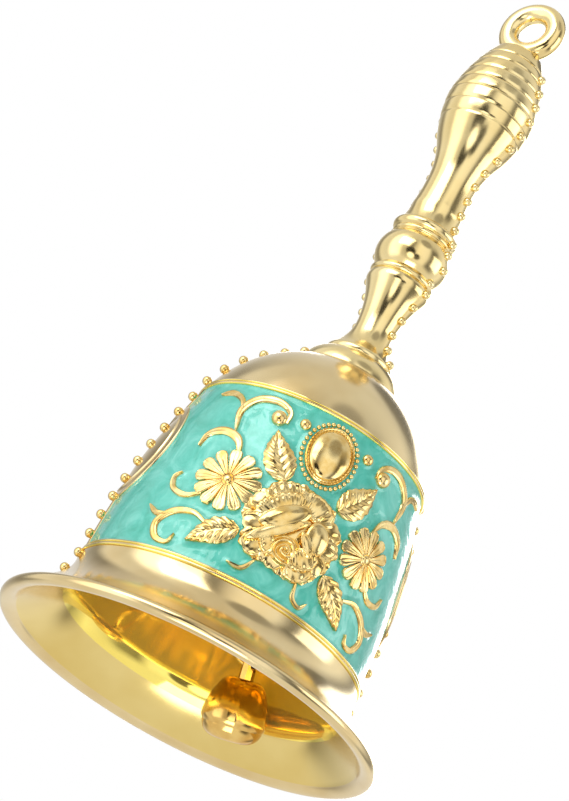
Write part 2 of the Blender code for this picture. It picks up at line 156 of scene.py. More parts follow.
def linked(name: str, data: bpy.types.ID) -> bpy.types.Object:
    """Make an object of a mesh, a light or a camera, and link it to the scene."""
    thing = bpy.data.objects.new(name, data)
    bpy.context.scene.collection.objects.link(thing)
    return thing


# ---- Finishes ----

@dataclass(frozen=True)
class GoldPlate:
    """Thin gold plate over brass: a warm metal whose gloss depends on how the part under it was buffed.

    Patches of slightly different colour and gloss are patch_mm across, and the ripple that the wheel leaves is
    ripple_mm from crest to crest and ripple_depth_mm deep.
    """

    name: str
    colour: str
    deep_colour: str
    roughness: float
    roughness_spread: float
    patch_mm: float
    ripple_mm: float
    ripple_depth_mm: float
    metallic: float = 1.0

    def build(self) -> bpy.types.Material:
        """Make the material: slow colour and gloss patches, and the faint ripple that buffing leaves."""
        material, tree = node_material(self.name)
        shader = tree.nodes["Principled BSDF"]
        place = add_node(tree, "ShaderNodeTexCoord").outputs["Object"]
        patches = add_node(tree, "ShaderNodeTexNoise", inputs={
            "Vector": place, "Scale": 1 / (self.patch_mm * MM), "Detail": 3.0}).outputs["Fac"]
        tint = add_node(tree, "ShaderNodeValToRGB", inputs={"Fac": patches})
        colour = set_ramp(tint, [(0.36, linear(self.deep_colour)), (0.62, linear(self.colour))])
        gloss = add_node(tree, "ShaderNodeMapRange", inputs={
            "Value": patches, "From Min": NOISE_LOW, "From Max": NOISE_HIGH,
            "To Min": self.roughness - self.roughness_spread,
            "To Max": self.roughness + self.roughness_spread}).outputs["Result"]
        ripple = add_node(tree, "ShaderNodeTexNoise", inputs={
            "Vector": place, "Scale": 1 / (self.ripple_mm * MM), "Detail": 2.0}).outputs["Fac"]
        bump = add_node(tree, "ShaderNodeBump", inputs={
            "Height": ripple, "Strength": 1.0, "Distance": self.ripple_depth_mm * MM})
        tree.links.new(colour, shader.inputs["Base Color"])
        tree.links.new(gloss, shader.inputs["Roughness"])
        tree.links.new(bump.outputs["Normal"], shader.inputs["Normal"])
        shader.inputs["Metallic"].default_value = self.metallic
        return material


@dataclass(frozen=True)
class PearlEnamel:
    """Soft pearlescent enamel flowed into the cast beds by hand: milky swirls under a clear wet gloss."""

    name: str = "pearl_enamel_flowed"
    light: str = "#69C8B8"
    middle: str = "#4AB9A7"
    deep: str = "#2FA993"
    swirl_mm: float = 7.0
    puddle_mm: float = 2.6
    puddle_depth_mm: float = 0.16
    roughness: float = 0.38
    pearl: float = 0.12
    coat_roughness: float = 0.04
    coat_ior: float = 1.5

    def build(self) -> bpy.types.Material:
        """Make the material: warped swirls of pigment and the uneven top of poured enamel."""
        material, tree = node_material(self.name)
        shader = tree.nodes["Principled BSDF"]
        place = add_node(tree, "ShaderNodeTexCoord").outputs["Object"]
        swirl = add_node(tree, "ShaderNodeTexNoise", inputs={
            "Vector": place, "Scale": 1 / (self.swirl_mm * MM), "Detail": 5.0, "Roughness": 0.6,
            "Distortion": 2.2}).outputs["Fac"]
        pigment = add_node(tree, "ShaderNodeValToRGB", inputs={"Fac": swirl})
        colour = set_ramp(pigment, [(0.32, linear(self.deep)), (0.50, linear(self.middle)),
                                    (0.68, linear(self.light))])
        puddles = add_node(tree, "ShaderNodeTexNoise", inputs={
            "Vector": place, "Scale": 1 / (self.puddle_mm * MM), "Detail": 1.5,
            "Distortion": 0.8}).outputs["Fac"]
        bump = add_node(tree, "ShaderNodeBump", inputs={
            "Height": puddles, "Strength": 1.0, "Distance": self.puddle_depth_mm * MM})
        tree.links.new(colour, shader.inputs["Base Color"])
        tree.links.new(bump.outputs["Normal"], shader.inputs["Coat Normal"])
        for name, value in (("Roughness", self.roughness), ("Metallic", self.pearl), ("Coat Weight", 1.0),
                            ("Coat Roughness", self.coat_roughness), ("Coat IOR", self.coat_ior)):
            shader.inputs[name].default_value = value
        return material


@dataclass(frozen=True)
class Finishes:
    """Every finish of the bell, made once."""

    cup: bpy.types.Material
    bore: bpy.types.Material
    flare: bpy.types.Material
    relief: bpy.types.Material
    handle: bpy.types.Material
    chain: bpy.types.Material
    clapper: bpy.types.Material
    fastener: bpy.types.Material
    enamel: bpy.types.Material

    @classmethod
    def make(cls) -> "Finishes":
        """Make all the materials."""
        # Buffed with a fine wheel and left satin, so bright shapes smear softly over the cup.
        cup = GoldPlate("gold_plate_satin_cup", "#EAD5A4", "#DDC28A", 0.17, 0.03, 14.0, 2.2, 0.006)
        # The bore keeps the bright plate that no wheel dulls, and it lights itself a deeper gold; its lighter,
        # yellower colour than the cup's is painted light that brightens the shaded inside.
        bore = GoldPlate("gold_plate_bore_painted_light", "#FFE97A", "#FDE16C", 0.07, 0.02, 12.0, 4.0, 0.008, 0.8)
        # Inside the flare the wheel reached, so the plate turns satin again; its yellower colour than outside is
        # painted bounce light from the gold inside.
        flare = GoldPlate("gold_plate_satin_flare_painted_bounce", "#E9D087", "#DFC273", 0.19, 0.04, 16.0, 3.0, 0.006)
        # Cast relief is a touch glossier than the cup, and fine patches of it take a slightly deeper colour.
        relief = GoldPlate("gold_plate_cast_relief", "#F2D897", "#E3BE70", 0.15, 0.04, 1.6, 0.6, 0.004)
        # The handle is polished brighter and reads more yellow than the cup.
        handle = GoldPlate("gold_plate_polished_handle", "#F3DEA5", "#EBD190", 0.18, 0.04, 9.0, 2.0, 0.012)
        # Drawn wire and turned fasteners are barrel-plated with a fine even shine, the fasteners a little duller.
        chain = GoldPlate("gold_plate_drawn_wire", "#F0C765", "#E8B950", 0.14, 0.03, 3.0, 0.6, 0.003)
        fastener = GoldPlate("gold_plate_turned_steel", "#E9C773", "#DDB65C", 0.20, 0.04, 3.0, 0.4, 0.003)
        # The cast weight hangs out of the polisher's reach, so its plate stays duller and browner in patches.
        clapper = GoldPlate("gold_plate_cast_weight", "#EFCB7C", "#D2A353", 0.15, 0.05, 5.0, 1.2, 0.006)
        finishes = (cup, bore, flare, relief, handle, chain, clapper, fastener, PearlEnamel())
        return cls(*(finish.build() for finish in finishes))


# ---- Outlines and meshes ----

def arc(start: tuple[float, float], end: tuple[float, float], bulge: float, steps: int) -> Outline:
    """Points of a circular arc after start, up to end, bulging to the right of the way between them.

    Args:
        start: First point, not repeated in the result.
        end: Last point.
        bulge: Height of the arc over its chord, in mm.
        steps: Number of points returned.
    Returns:
        The points as (radius, height).
    """
    first, last = Vector(start), Vector(end)
    chord = last - first
    if abs(bulge) < 1e-5:
        return [tuple(first.lerp(last, step / steps)) for step in range(1, steps + 1)]
    side = Vector((chord.y, -chord.x)).normalized()
    radius = (chord.length ** 2 / 4 + bulge ** 2) / (2 * bulge)
    centre = (first + last) / 2 + side * (bulge - radius)
    sweep = (first - centre).angle_signed(last - centre)
    points = [centre + Matrix.Rotation(-sweep * step / steps, 2) @ (first - centre)
              for step in range(1, steps)]
    return [tuple(point) for point in points] + [tuple(last)]


def walk(outline: Outline, first: float, pitch: float) -> list[tuple[Vector, Vector]]:
    """Evenly spaced places along an outline.

    Args:
        outline: Points as (radius, height), in mm.
        first: Distance of the first place from the outline's start.
        pitch: Distance between places.
    Returns:
        Pairs of a point and the outward normal there.
    """
    places = []
    travelled, target = 0.0, first
    for low, high in zip(outline, outline[1:]):
        start, step = Vector(low), Vector(high) - Vector(low)
        while step.length > 0 and target <= travelled + step.length:
            direction = step.normalized()
            places.append((start + direction * (target - travelled), Vector((direction.y, -direction.x))))
            target += pitch
        travelled += step.length
    return places


def mesh_from(name: str, verts: np.ndarray, faces: Faces = (), edges: Faces = ()) -> bpy.types.Mesh:
    """Make a mesh in metres from vertices in mm."""
    mesh = bpy.data.meshes.new(name)
    mesh.from_pydata((np.asarray(verts, float).reshape(-1, 3) * MM).tolist(), list(edges), list(faces))
    return mesh


def cleaned(mesh: bpy.types.Mesh, crease: float = 35.0, merge_mm: float = 1e-4) -> bpy.types.Mesh:
    """Merge doubles, turn the faces out and shade the mesh smooth between its creases.

    Args:
        mesh: The mesh, changed in place.
        crease: Angle between faces, in degrees, past which an edge stays sharp.
        merge_mm: Distance under which points are merged.
    Returns:
        The same mesh.
    """
    work = bmesh.new()
    work.from_mesh(mesh)
    bmesh.ops.remove_doubles(work, verts=work.verts, dist=merge_mm * MM)
    bmesh.ops.dissolve_degenerate(work, edges=work.edges, dist=merge_mm * MM)
    bmesh.ops.recalc_face_normals(work, faces=work.faces)
    work.to_mesh(mesh)
    work.free()
    mesh.shade_smooth()
    mesh.set_sharp_from_angle(angle=math.radians(crease))
    return mesh


def closed_path(points: list[Vector]) -> bpy.types.Mesh:
    """Mesh of a closed loop of edges through points in mm."""
    count = len(points)
    return mesh_from("path", np.array([tuple(p) for p in points]),
                     edges=[(i, (i + 1) % count) for i in range(count)])


def round_path(centre: Vector, radius: float, across: Vector, up: Vector, count: int = 96) -> bpy.types.Mesh:
    """Closed circle of edges in the plane of two directions, in mm."""
    turns = [math.tau * step / count for step in range(count)]
    return closed_path([centre + radius * (math.cos(t) * across + math.sin(t) * up) for t in turns])


# ---- Geometry trees ----

class ShapeTree:
    """A geometry node tree with named inputs, run once on a mesh to make a plain mesh."""

    def __init__(self, name: str, inputs: dict[str, str]) -> None:
        """Start a tree.

        Args:
            name: The tree's name.
            inputs: Socket type by input name; the geometry and the material are always there.
        """
        self.tree = bpy.data.node_groups.new(name, "GeometryNodeTree")
        sockets = self.tree.interface
        sockets.new_socket("Geometry", in_out="OUTPUT", socket_type="NodeSocketGeometry")
        sockets.new_socket("Geometry", in_out="INPUT", socket_type="NodeSocketGeometry")
        for socket, kind in {**inputs, "Material": "NodeSocketMaterial"}.items():
            sockets.new_socket(socket, in_out="INPUT", socket_type=kind)
        self.given = add_node(self.tree, "NodeGroupInput").outputs

    def end(self, geometry: bpy.types.NodeSocket) -> "ShapeTree":
        """Close the tree: realise its instances and set the material."""
        plain = add_node(self.tree, "GeometryNodeRealizeInstances", inputs={"Geometry": geometry})
        dressed = add_node(self.tree, "GeometryNodeSetMaterial", inputs={
            "Geometry": plain.outputs["Geometry"], "Material": self.given["Material"]})
        add_node(self.tree, "NodeGroupOutput", inputs={"Geometry": dressed.outputs["Geometry"]})
        return self

    def run(self, name: str, source: bpy.types.Mesh, values: dict) -> bpy.types.Mesh:
        """Run the tree on a mesh.

        Args:
            name: Name of the new mesh.
            source: The mesh that the tree starts from.
            values: Input values by the inputs' names.
        Returns:
            The evaluated result as a plain mesh.
        """
        holder = linked(name + "_source", source)
        modifier = holder.modifiers.new(self.tree.name, "NODES")
        modifier.node_group = self.tree
        for socket in self.tree.interface.items_tree:
            if socket.in_out == "INPUT" and socket.name in values:
                modifier[socket.identifier] = values[socket.name]
        depsgraph = bpy.context.evaluated_depsgraph_get()
        mesh = bpy.data.meshes.new_from_object(holder.evaluated_get(depsgraph), depsgraph=depsgraph)
        mesh.name = name
        bpy.data.objects.remove(holder)
        return mesh


def turning_tree() -> ShapeTree:
    """Tree that turns an outline of edges about the Z axis, as a lathe does."""
    made = ShapeTree("turning", {"Segments": "NodeSocketInt"})
    profile = add_node(made.tree, "GeometryNodeMeshToCurve", inputs={"Mesh": made.given["Geometry"]})
    circle = add_node(made.tree, "GeometryNodeCurvePrimitiveCircle", inputs={
        "Resolution": made.given["Segments"], "Radius": 1e-7})
    upright = add_node(made.tree, "GeometryNodeSetCurveNormal", {"mode": "Z_UP"}, {
        "Curve": circle.outputs["Curve"]})
    solid = add_node(made.tree, "GeometryNodeCurveToMesh", inputs={
        "Curve": upright.outputs["Curve"], "Profile Curve": profile.outputs["Curve"]})
    return made.end(solid.outputs["Mesh"])


def wire_tree() -> ShapeTree:
    """Tree that runs a round wire along a closed path of edges."""
    made = ShapeTree("wire", {"Wire Radius": "NodeSocketFloat", "Sides": "NodeSocketInt"})
    path = add_node(made.tree, "GeometryNodeMeshToCurve", inputs={"Mesh": made.given["Geometry"]})
    section = add_node(made.tree, "GeometryNodeCurvePrimitiveCircle", inputs={
        "Resolution": made.given["Sides"], "Radius": made.given["Wire Radius"]})
    solid = add_node(made.tree, "GeometryNodeCurveToMesh", inputs={
        "Curve": path.outputs["Curve"], "Profile Curve": section.outputs["Curve"]})
    return made.end(solid.outputs["Mesh"])


def bead_tree() -> ShapeTree:
    """Tree that sets a small ball on every point of a mesh."""
    made = ShapeTree("beads", {"Bead Radius": "NodeSocketFloat", "Segments": "NodeSocketInt",
                               "Rings": "NodeSocketInt"})
    ball = add_node(made.tree, "GeometryNodeMeshUVSphere", inputs={
        "Segments": made.given["Segments"], "Rings": made.given["Rings"],
        "Radius": made.given["Bead Radius"]})
    row = add_node(made.tree, "GeometryNodeInstanceOnPoints", inputs={
        "Points": made.given["Geometry"], "Instance": ball.outputs["Mesh"]})
    return made.end(row.outputs["Instances"])


def petal_tree() -> ShapeTree:
    """Tree that repeats one petal round the origin, in the XY plane."""
    made = ShapeTree("petal_ring", {"Count": "NodeSocketInt", "Turn": "NodeSocketFloat"})
    spots = add_node(made.tree, "GeometryNodePoints", inputs={"Count": made.given["Count"]})
    index = add_node(made.tree, "GeometryNodeInputIndex")
    share = add_node(made.tree, "ShaderNodeMath", {"operation": "DIVIDE"}, {
        0: index.outputs["Index"], 1: made.given["Count"]})
    angle = add_node(made.tree, "ShaderNodeMath", {"operation": "MULTIPLY_ADD"}, {
        0: share.outputs["Value"], 1: math.tau, 2: made.given["Turn"]})
    euler = add_node(made.tree, "ShaderNodeCombineXYZ", inputs={"Z": angle.outputs["Value"]})
    turn = add_node(made.tree, "FunctionNodeEulerToRotation", inputs={"Euler": euler.outputs["Vector"]})
    ring = add_node(made.tree, "GeometryNodeInstanceOnPoints", inputs={
        "Points": spots.outputs["Points"], "Instance": made.given["Geometry"],
        "Rotation": turn.outputs["Rotation"]})
    return made.end(ring.outputs["Instances"])


@dataclass(frozen=True)
class Workshop:
    """The trees and finishes that every sub-assembly uses."""

    turning: ShapeTree
    wire: ShapeTree
    beads: ShapeTree
    petals: ShapeTree
    finishes: Finishes

    @classmethod
    def open(cls) -> "Workshop":
        """Build every tree and finish."""
        return cls(turning_tree(), wire_tree(), bead_tree(), petal_tree(), Finishes.make())

    def turned(self, name: str, outline: Outline, material: bpy.types.Material, segments: int = 192,
               closed: bool = False, crease: float = 32.0) -> bpy.types.Mesh:
        """Turn an outline to a mesh.

        Args:
            name: The mesh's name.
            outline: Points as (radius, height), in mm.
            material: Its material.
            segments: Number of steps round the axis.
            closed: Whether the outline closes on itself.
            crease: Angle past which an edge stays sharp.
        Returns:
            The turned mesh.
        """
        count = len(outline)
        edges = [(i, i + 1) for i in range(count - 1)] + ([(count - 1, 0)] if closed else [])
        flat = mesh_from(name, np.array([(r, -z, 0.0) for r, z in outline]), edges=edges)
        mesh = self.turning.run(name, flat, {"Segments": segments, "Material": material})
        return cleaned(mesh, crease)

    def wired(self, name: str, path: bpy.types.Mesh, radius: float, material: bpy.types.Material,
              sides: int = 24) -> bpy.types.Mesh:
        """Run a round wire, its radius in mm, along a path."""
        values = {"Wire Radius": radius * MM, "Sides": sides, "Material": material}
        return cleaned(self.wire.run(name, path, values))

    def beaded(self, name: str, spots: list[Vector], radius: float, material: bpy.types.Material,
               segments: int = 16, rings: int = 10) -> bpy.types.Mesh:
        """Set beads, their radius in mm, on spots in mm."""
        flat = mesh_from(name, np.array([tuple(spot) for spot in spots]))
        values = {"Bead Radius": radius * MM, "Segments": segments, "Rings": rings, "Material": material}
        return cleaned(self.beads.run(name, flat, values))


def joined(name: str, meshes: list[bpy.types.Mesh]) -> bpy.types.Mesh:
    """Join meshes that share one material into one mesh, keeping their creases."""
    material = meshes[-1].materials[-1]
    work = bmesh.new()
    for mesh in meshes:
        work.from_mesh(mesh)
    for face in work.faces:
        face.material_index = 0
    made = bpy.data.meshes.new(name)
    work.to_mesh(made)
    work.free()
    made.materials.append(material)
    return made


def combined(mesh: bpy.types.Mesh, tool: bpy.types.Mesh, operation: str) -> bpy.types.Mesh:
    """Unite two closed meshes, or cut one with the other."""
    base, other = linked(mesh.name, mesh), linked(tool.name, tool)
    modifier = base.modifiers.new("join", "BOOLEAN")
    modifier.operation = operation
    modifier.solver = "EXACT"
    modifier.object = other
    depsgraph = bpy.context.evaluated_depsgraph_get()
    made = bpy.data.meshes.new_from_object(base.evaluated_get(depsgraph), depsgraph=depsgraph)
    for thing in (base, other):
        bpy.data.objects.remove(thing)
    return made


def place(name: str, mesh: bpy.types.Mesh, body: Body, slot: Slot, *stands_for: str) -> bpy.types.Object:
    """Make a finished mesh a piece that rides on a body.

    Args:
        name: The piece's name.
        mesh: Its mesh, already in place.
        body: The body that carries it.
        slot: The record's material slot; not used.
        stands_for: The CAD nodes that it replaces.
    Returns:
        The piece.
    """
    mesh.name = name
    piece = linked(name, mesh)
    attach(piece, body.value)
    if stands_for:
        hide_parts(*stands_for)
    log.info("%s: %d faces on body %s", name, len(mesh.polygons), body.value)
    return piece


# ---- Cup ----

@dataclass(frozen=True)
class FieldSurface:
    """The curved surface of the enamel field, on which all its relief is laid out flat and then wrapped."""

    foot_z: float = 11.7
    head_z: float = 41.3
    foot_radius: float = 22.3
    head_radius: float = 18.35
    bulge: float = 1.0

    def outline(self, inset: float, steps: int) -> Outline:
        """Outline of the field from foot to head, inset from its surface."""
        foot = (self.foot_radius - inset, self.foot_z)
        return [foot] + arc(foot, (self.head_radius - inset, self.head_z), self.bulge, steps)

    def radius(self, height: np.ndarray) -> np.ndarray:
        """Radius of the field at some heights."""
        points = np.array(self.outline(0, 60))
        return np.interp(height, points[:, 1], points[:, 0])

    def wrap(self, flat: np.ndarray, turn: float) -> np.ndarray:
        """Lay flat relief on the field.

        Args:
            flat: Rows of (distance round the bell, height, lift off the surface), in mm.
            turn: Turn of the field's middle about the axis, from -Y towards +X.
        Returns:
            Points in the row frame, in mm.
        """
        along, height, lift = flat[:, 0], flat[:, 1], flat[:, 2]
        radius = self.radius(height)
        slope = (self.radius(height + 0.1) - self.radius(height - 0.1)) / 0.2
        length = np.sqrt(1 + slope ** 2)
        angle = along / radius + turn
        out = radius + lift / length
        return np.stack([out * np.sin(angle), -out * np.cos(angle), height - lift * slope / length], axis=1)


def circle(radius: float) -> Callable[[np.ndarray], np.ndarray]:
    """Edge that has one radius at every angle."""
    return lambda angle: np.full_like(angle, radius)


class Relief:
    """Raised ornament, gathered flat as (distance round the bell, height, lift), then wrapped on the field."""

    FOOT = -0.35

    def __init__(self) -> None:
        """Start with no shapes."""
        self.verts: list[np.ndarray] = []
        self.faces: Faces = []
        self.count = 0

    def add(self, verts: np.ndarray, faces: Faces) -> None:
        """Add one closed shape."""
        self.verts.append(verts)
        self.faces += [tuple(i + self.count for i in face) for face in faces]
        self.count += len(verts)

    def blade(self, path: np.ndarray, half_width: np.ndarray,
              crown: Callable[[np.ndarray, np.ndarray], np.ndarray], across: int = 9) -> None:
        """Add a strip along a path: a scroll, a leaf or a petal.

        Args:
            path: Points of its middle line, in mm.
            half_width: Half its width at each point.
            crown: Lift from the share along the path and the share across it, from -1 to 1.
            across: Number of points across the top.
        """
        tangent = np.gradient(path, axis=0)
        tangent /= np.linalg.norm(tangent, axis=1)[:, None] + 1e-12
        normal = np.stack([-tangent[:, 1], tangent[:, 0]], axis=1)
        share, side = np.linspace(0, 1, len(path)), np.linspace(-1, 1, across)
        top = path[:, None] + normal[:, None] * (side[None, :, None] * half_width[:, None, None])
        lift = crown(share[:, None], side[None, :]) * np.ones((len(path), across))
        rings = np.concatenate([top, lift[:, :, None]], axis=2)
        low = np.full((len(path), 1, 1), self.FOOT)
        feet = [np.concatenate([top[:, edge][:, None], low], axis=2) for edge in (-1, 0)]
        rings = np.concatenate([rings, *feet], axis=1)
        width, length = across + 2, len(path)
        faces: Faces = [(i * width + k, i * width + (k + 1) % width, (i + 1) * width + (k + 1) % width,
                         (i + 1) * width + k) for i in range(length - 1) for k in range(width)]
        faces += [tuple(range(width - 1, -1, -1)), tuple((length - 1) * width + k for k in range(width))]
        self.add(rings.reshape(-1, 3), faces)

    def boss(self, centre: tuple[float, float], edge: Callable[[np.ndarray], np.ndarray],
             crown: Callable[[np.ndarray, np.ndarray, np.ndarray], np.ndarray],
             rings: int, sectors: int, aspect: float = 1.0) -> None:
        """Add a rounded shape: a dot, a hub, a cabochon or the rose.

        Args:
            centre: Its middle.
            edge: Radius of its edge by angle.
            crown: Lift from the share of that radius, and from the two distances from the middle.
            rings: Number of rings from the middle out.
            sectors: Number of points round it.
            aspect: Stretch of its height.
        """
        angle = np.arange(sectors) * math.tau / sectors
        share = (np.arange(1, rings + 1) / rings)[:, None] * np.ones((1, sectors))
        reach = share * edge(angle)[None, :]
        x, y = reach * np.cos(angle), reach * np.sin(angle) * aspect
        top = np.stack([centre[0] + x, centre[1] + y, crown(share, x, y)], axis=2).reshape(-1, 3)
        foot = top[-sectors:].copy()
        foot[:, 2] = self.FOOT
        zero = np.zeros((1, 1))
        middle = np.array([[centre[0], centre[1], float(crown(zero, zero, zero)[0, 0])]])
        verts = np.concatenate([middle, top, foot])
        faces: Faces = [(0, 1 + k, 1 + (k + 1) % sectors) for k in range(sectors)]
        for ring in range(rings):
            low, high = 1 + ring * sectors, 1 + (ring + 1) * sectors
            faces += [(low + k, high + k, high + (k + 1) % sectors, low + (k + 1) % sectors)
                      for k in range(sectors)]
        faces.append(tuple(1 + rings * sectors + k for k in range(sectors)))
        self.add(verts, faces)

    def add_mesh(self, mesh: bpy.types.Mesh, centre: tuple[float, float]) -> None:
        """Add a flat mesh made by a tree, moved to a centre."""
        points = np.array([v.co[:] for v in mesh.vertices]) / MM
        points[:, 0] += centre[0]
        points[:, 1] += centre[1]
        self.add(points, [tuple(face.vertices) for face in mesh.polygons])

    def mesh(self, name: str, surface: FieldSurface, turn: float,
             material: bpy.types.Material) -> bpy.types.Mesh:
        """Wrap everything on the field as one mesh."""
        made = mesh_from(name, surface.wrap(np.concatenate(self.verts), turn), self.faces)
        made.materials.append(material)
        return cleaned(made, 50.0, 2e-3)


def smooth_path(points: list[tuple[float, float]], steps: int) -> np.ndarray:
    """Points of a smooth curve through given points, evenly spaced, in mm."""
    given = np.array(points, float)
    padded = np.concatenate([[2 * given[0] - given[1]], given, [2 * given[-1] - given[-2]]])
    curve = []
    for a, b, c, d in zip(padded, padded[1:], padded[2:], padded[3:]):
        for t in np.linspace(0, 1, 24, endpoint=False):
            curve.append(0.5 * (2 * b + (c - a) * t + (2 * a - 5 * b + 4 * c - d) * t ** 2
                                + (3 * b - a - 3 * c + d) * t ** 3))
    curve = np.array(curve + [given[-1]])
    run = np.concatenate([[0], np.cumsum(np.linalg.norm(np.diff(curve, axis=0), axis=1))])
    wanted = np.linspace(0, run[-1], steps)
    return np.stack([np.interp(wanted, run, curve[:, axis]) for axis in (0, 1)], axis=1)


@dataclass(frozen=True)
class Scroll:
    """One tapered stroke of the scrollwork."""

    points: tuple[tuple[float, float], ...]
    half_width: float = 0.42
    start_taper: float = 0.5

    def carve(self, relief: Relief) -> None:
        """Add the stroke: swollen in the middle, thin at its ends, with a soft flat top."""
        path = smooth_path(list(self.points), 14 + 10 * len(self.points))
        share = np.linspace(0, 1, len(path))
        start = np.clip(share / 0.35, 0, 1) * (1 - self.start_taper) + self.start_taper
        width = 1.35 * self.half_width * start * np.sqrt(np.clip((1 - share) / 0.30, 0.05, 1))
        relief.blade(path, width, lambda u, v: 0.46 - 0.22 * np.abs(v) ** 4 - 0.10 * (1 - np.abs(v) ** 2) ** 4,
                     across=7)


@dataclass(frozen=True)
class Leaf:
    """A pointed leaf with a midrib and slanting side veins."""

    base: tuple[float, float]
    tip: tuple[float, float]
    half_width: float
    bend: float = 0.35

    def carve(self, relief: Relief) -> None:
        """Add the leaf, its edge nicked at every vein."""
        start, end = np.array(self.base), np.array(self.tip)
        across = np.array([-(end - start)[1], (end - start)[0]])
        share = np.linspace(0, 1, 56)
        path = start + (end - start) * share[:, None]
        path += across / np.linalg.norm(across) * (self.bend * np.sin(math.pi * share))[:, None]
        body = np.sin(math.pi * share ** 0.72) ** 0.85
        nicks = 1 + 0.07 * np.abs(np.sin(math.pi * 6 * share)) * body
        width = np.maximum(self.half_width * body * nicks, 0.03)

        def crown(u: np.ndarray, v: np.ndarray) -> np.ndarray:
            """Lift of the leaf: two cupped halves, a sunk midrib and ribbed veins."""
            veins = np.cos(math.tau * (6.5 * u - 1.6 * np.abs(v))) * np.clip(np.abs(v) * 4, 0, 1)
            halves = 0.52 + 0.30 * np.sin(math.pi * np.abs(v) ** 0.8) + 0.10 * veins
            rib = 0.12 * np.exp(-(v / 0.07) ** 2)
            return halves * (0.72 + 0.28 * np.sin(math.pi * u)) + rib - 0.12 * np.abs(v) ** 3

        relief.blade(path, width, crown, across=21)


@dataclass(frozen=True)
class Daisy:
    """A flower of round-ended petals about a small domed hub."""

    centre: tuple[float, float]
    radius: float
    petals: int = 12
    turn: float = 0.13

    def carve(self, relief: Relief, shop: Workshop) -> None:
        """Add the ring of petals and the hub."""
        inner, outer = 0.55, self.radius
        share = np.linspace(0, 1, 26)
        path = np.stack([inner + (outer - inner) * share, np.zeros_like(share)], axis=1)
        spread = math.pi / self.petals * path[:, 0]
        full = spread * 0.88
        round_end = np.sqrt(np.clip(1 - ((share - 0.80) / 0.20) ** 2, 0, 1)) * spread.max() * 0.80
        width = np.where(share > 0.80, np.minimum(full * 0.86, round_end), np.minimum(full, spread.max() * 0.80))
        width = np.maximum(width, 0.02)

        def crown(u: np.ndarray, v: np.ndarray) -> np.ndarray:
            """Lift of a petal: cupped between raised edges, with a vein down its middle."""
            cup = 0.40 + 0.14 * v ** 2 - 0.16 * np.clip(np.abs(v) - 0.82, 0, 1) / 0.18
            vein = 0.10 * np.exp(-(v / 0.13) ** 2) * (1 - u ** 3)
            return cup + vein + 0.12 * np.sin(math.pi * u ** 0.8)

        petal = Relief()
        petal.blade(path, width, crown, across=15)
        flat = mesh_from("petal", petal.verts[0], petal.faces)
        ring = shop.petals.run("petal_ring", flat, {"Count": self.petals, "Turn": self.turn,
                                                    "Material": shop.finishes.relief})
        relief.add_mesh(ring, self.centre)
        relief.boss(self.centre, circle(0.95),
                    lambda t, x, y: 0.50 + 0.38 * np.sqrt(np.clip(1 - (t / 0.72) ** 2, 0, 1))
                    + 0.14 * np.exp(-((t - 0.86) / 0.08) ** 2), 12, 32)


@dataclass(frozen=True)
class Petal:
    """One petal of the rose: an oval shell with a rolled edge, smooth or pleated towards the rose's heart."""

    x: float
    y: float
    half_length: float
    half_width: float
    turn: float
    base: float
    dome: float
    rim: float
    pleats: int = 0
    pleat_depth: float = 0.0

    def lift(self, x: np.ndarray, y: np.ndarray) -> np.ndarray:
        """Height of the petal over a grid, and far below it outside its edge."""
        c, s = math.cos(math.radians(self.turn)), math.sin(math.radians(self.turn))
        dx, dy = x - self.x, y - self.y
        along, across = (c * dx + s * dy) / self.half_length, (-s * dx + c * dy) / self.half_width
        turn = np.arctan2(y, x)
        fold = np.cos(self.pleats * turn + 1.3 * np.sin(5 * turn + self.turn)) if self.pleats else 0.0
        edge = 1 + 0.025 * fold
        share = np.sqrt(along ** 2 + across ** 2) / edge
        roll = self.rim * np.exp(-((share - 0.84) / 0.11) ** 2)
        waves = self.pleat_depth * fold * np.clip(share, 0, 1) ** 1.5
        height = self.base + self.dome * (1 - share ** 2) + roll + waves
        return np.where(share < 1, height, -9.0)


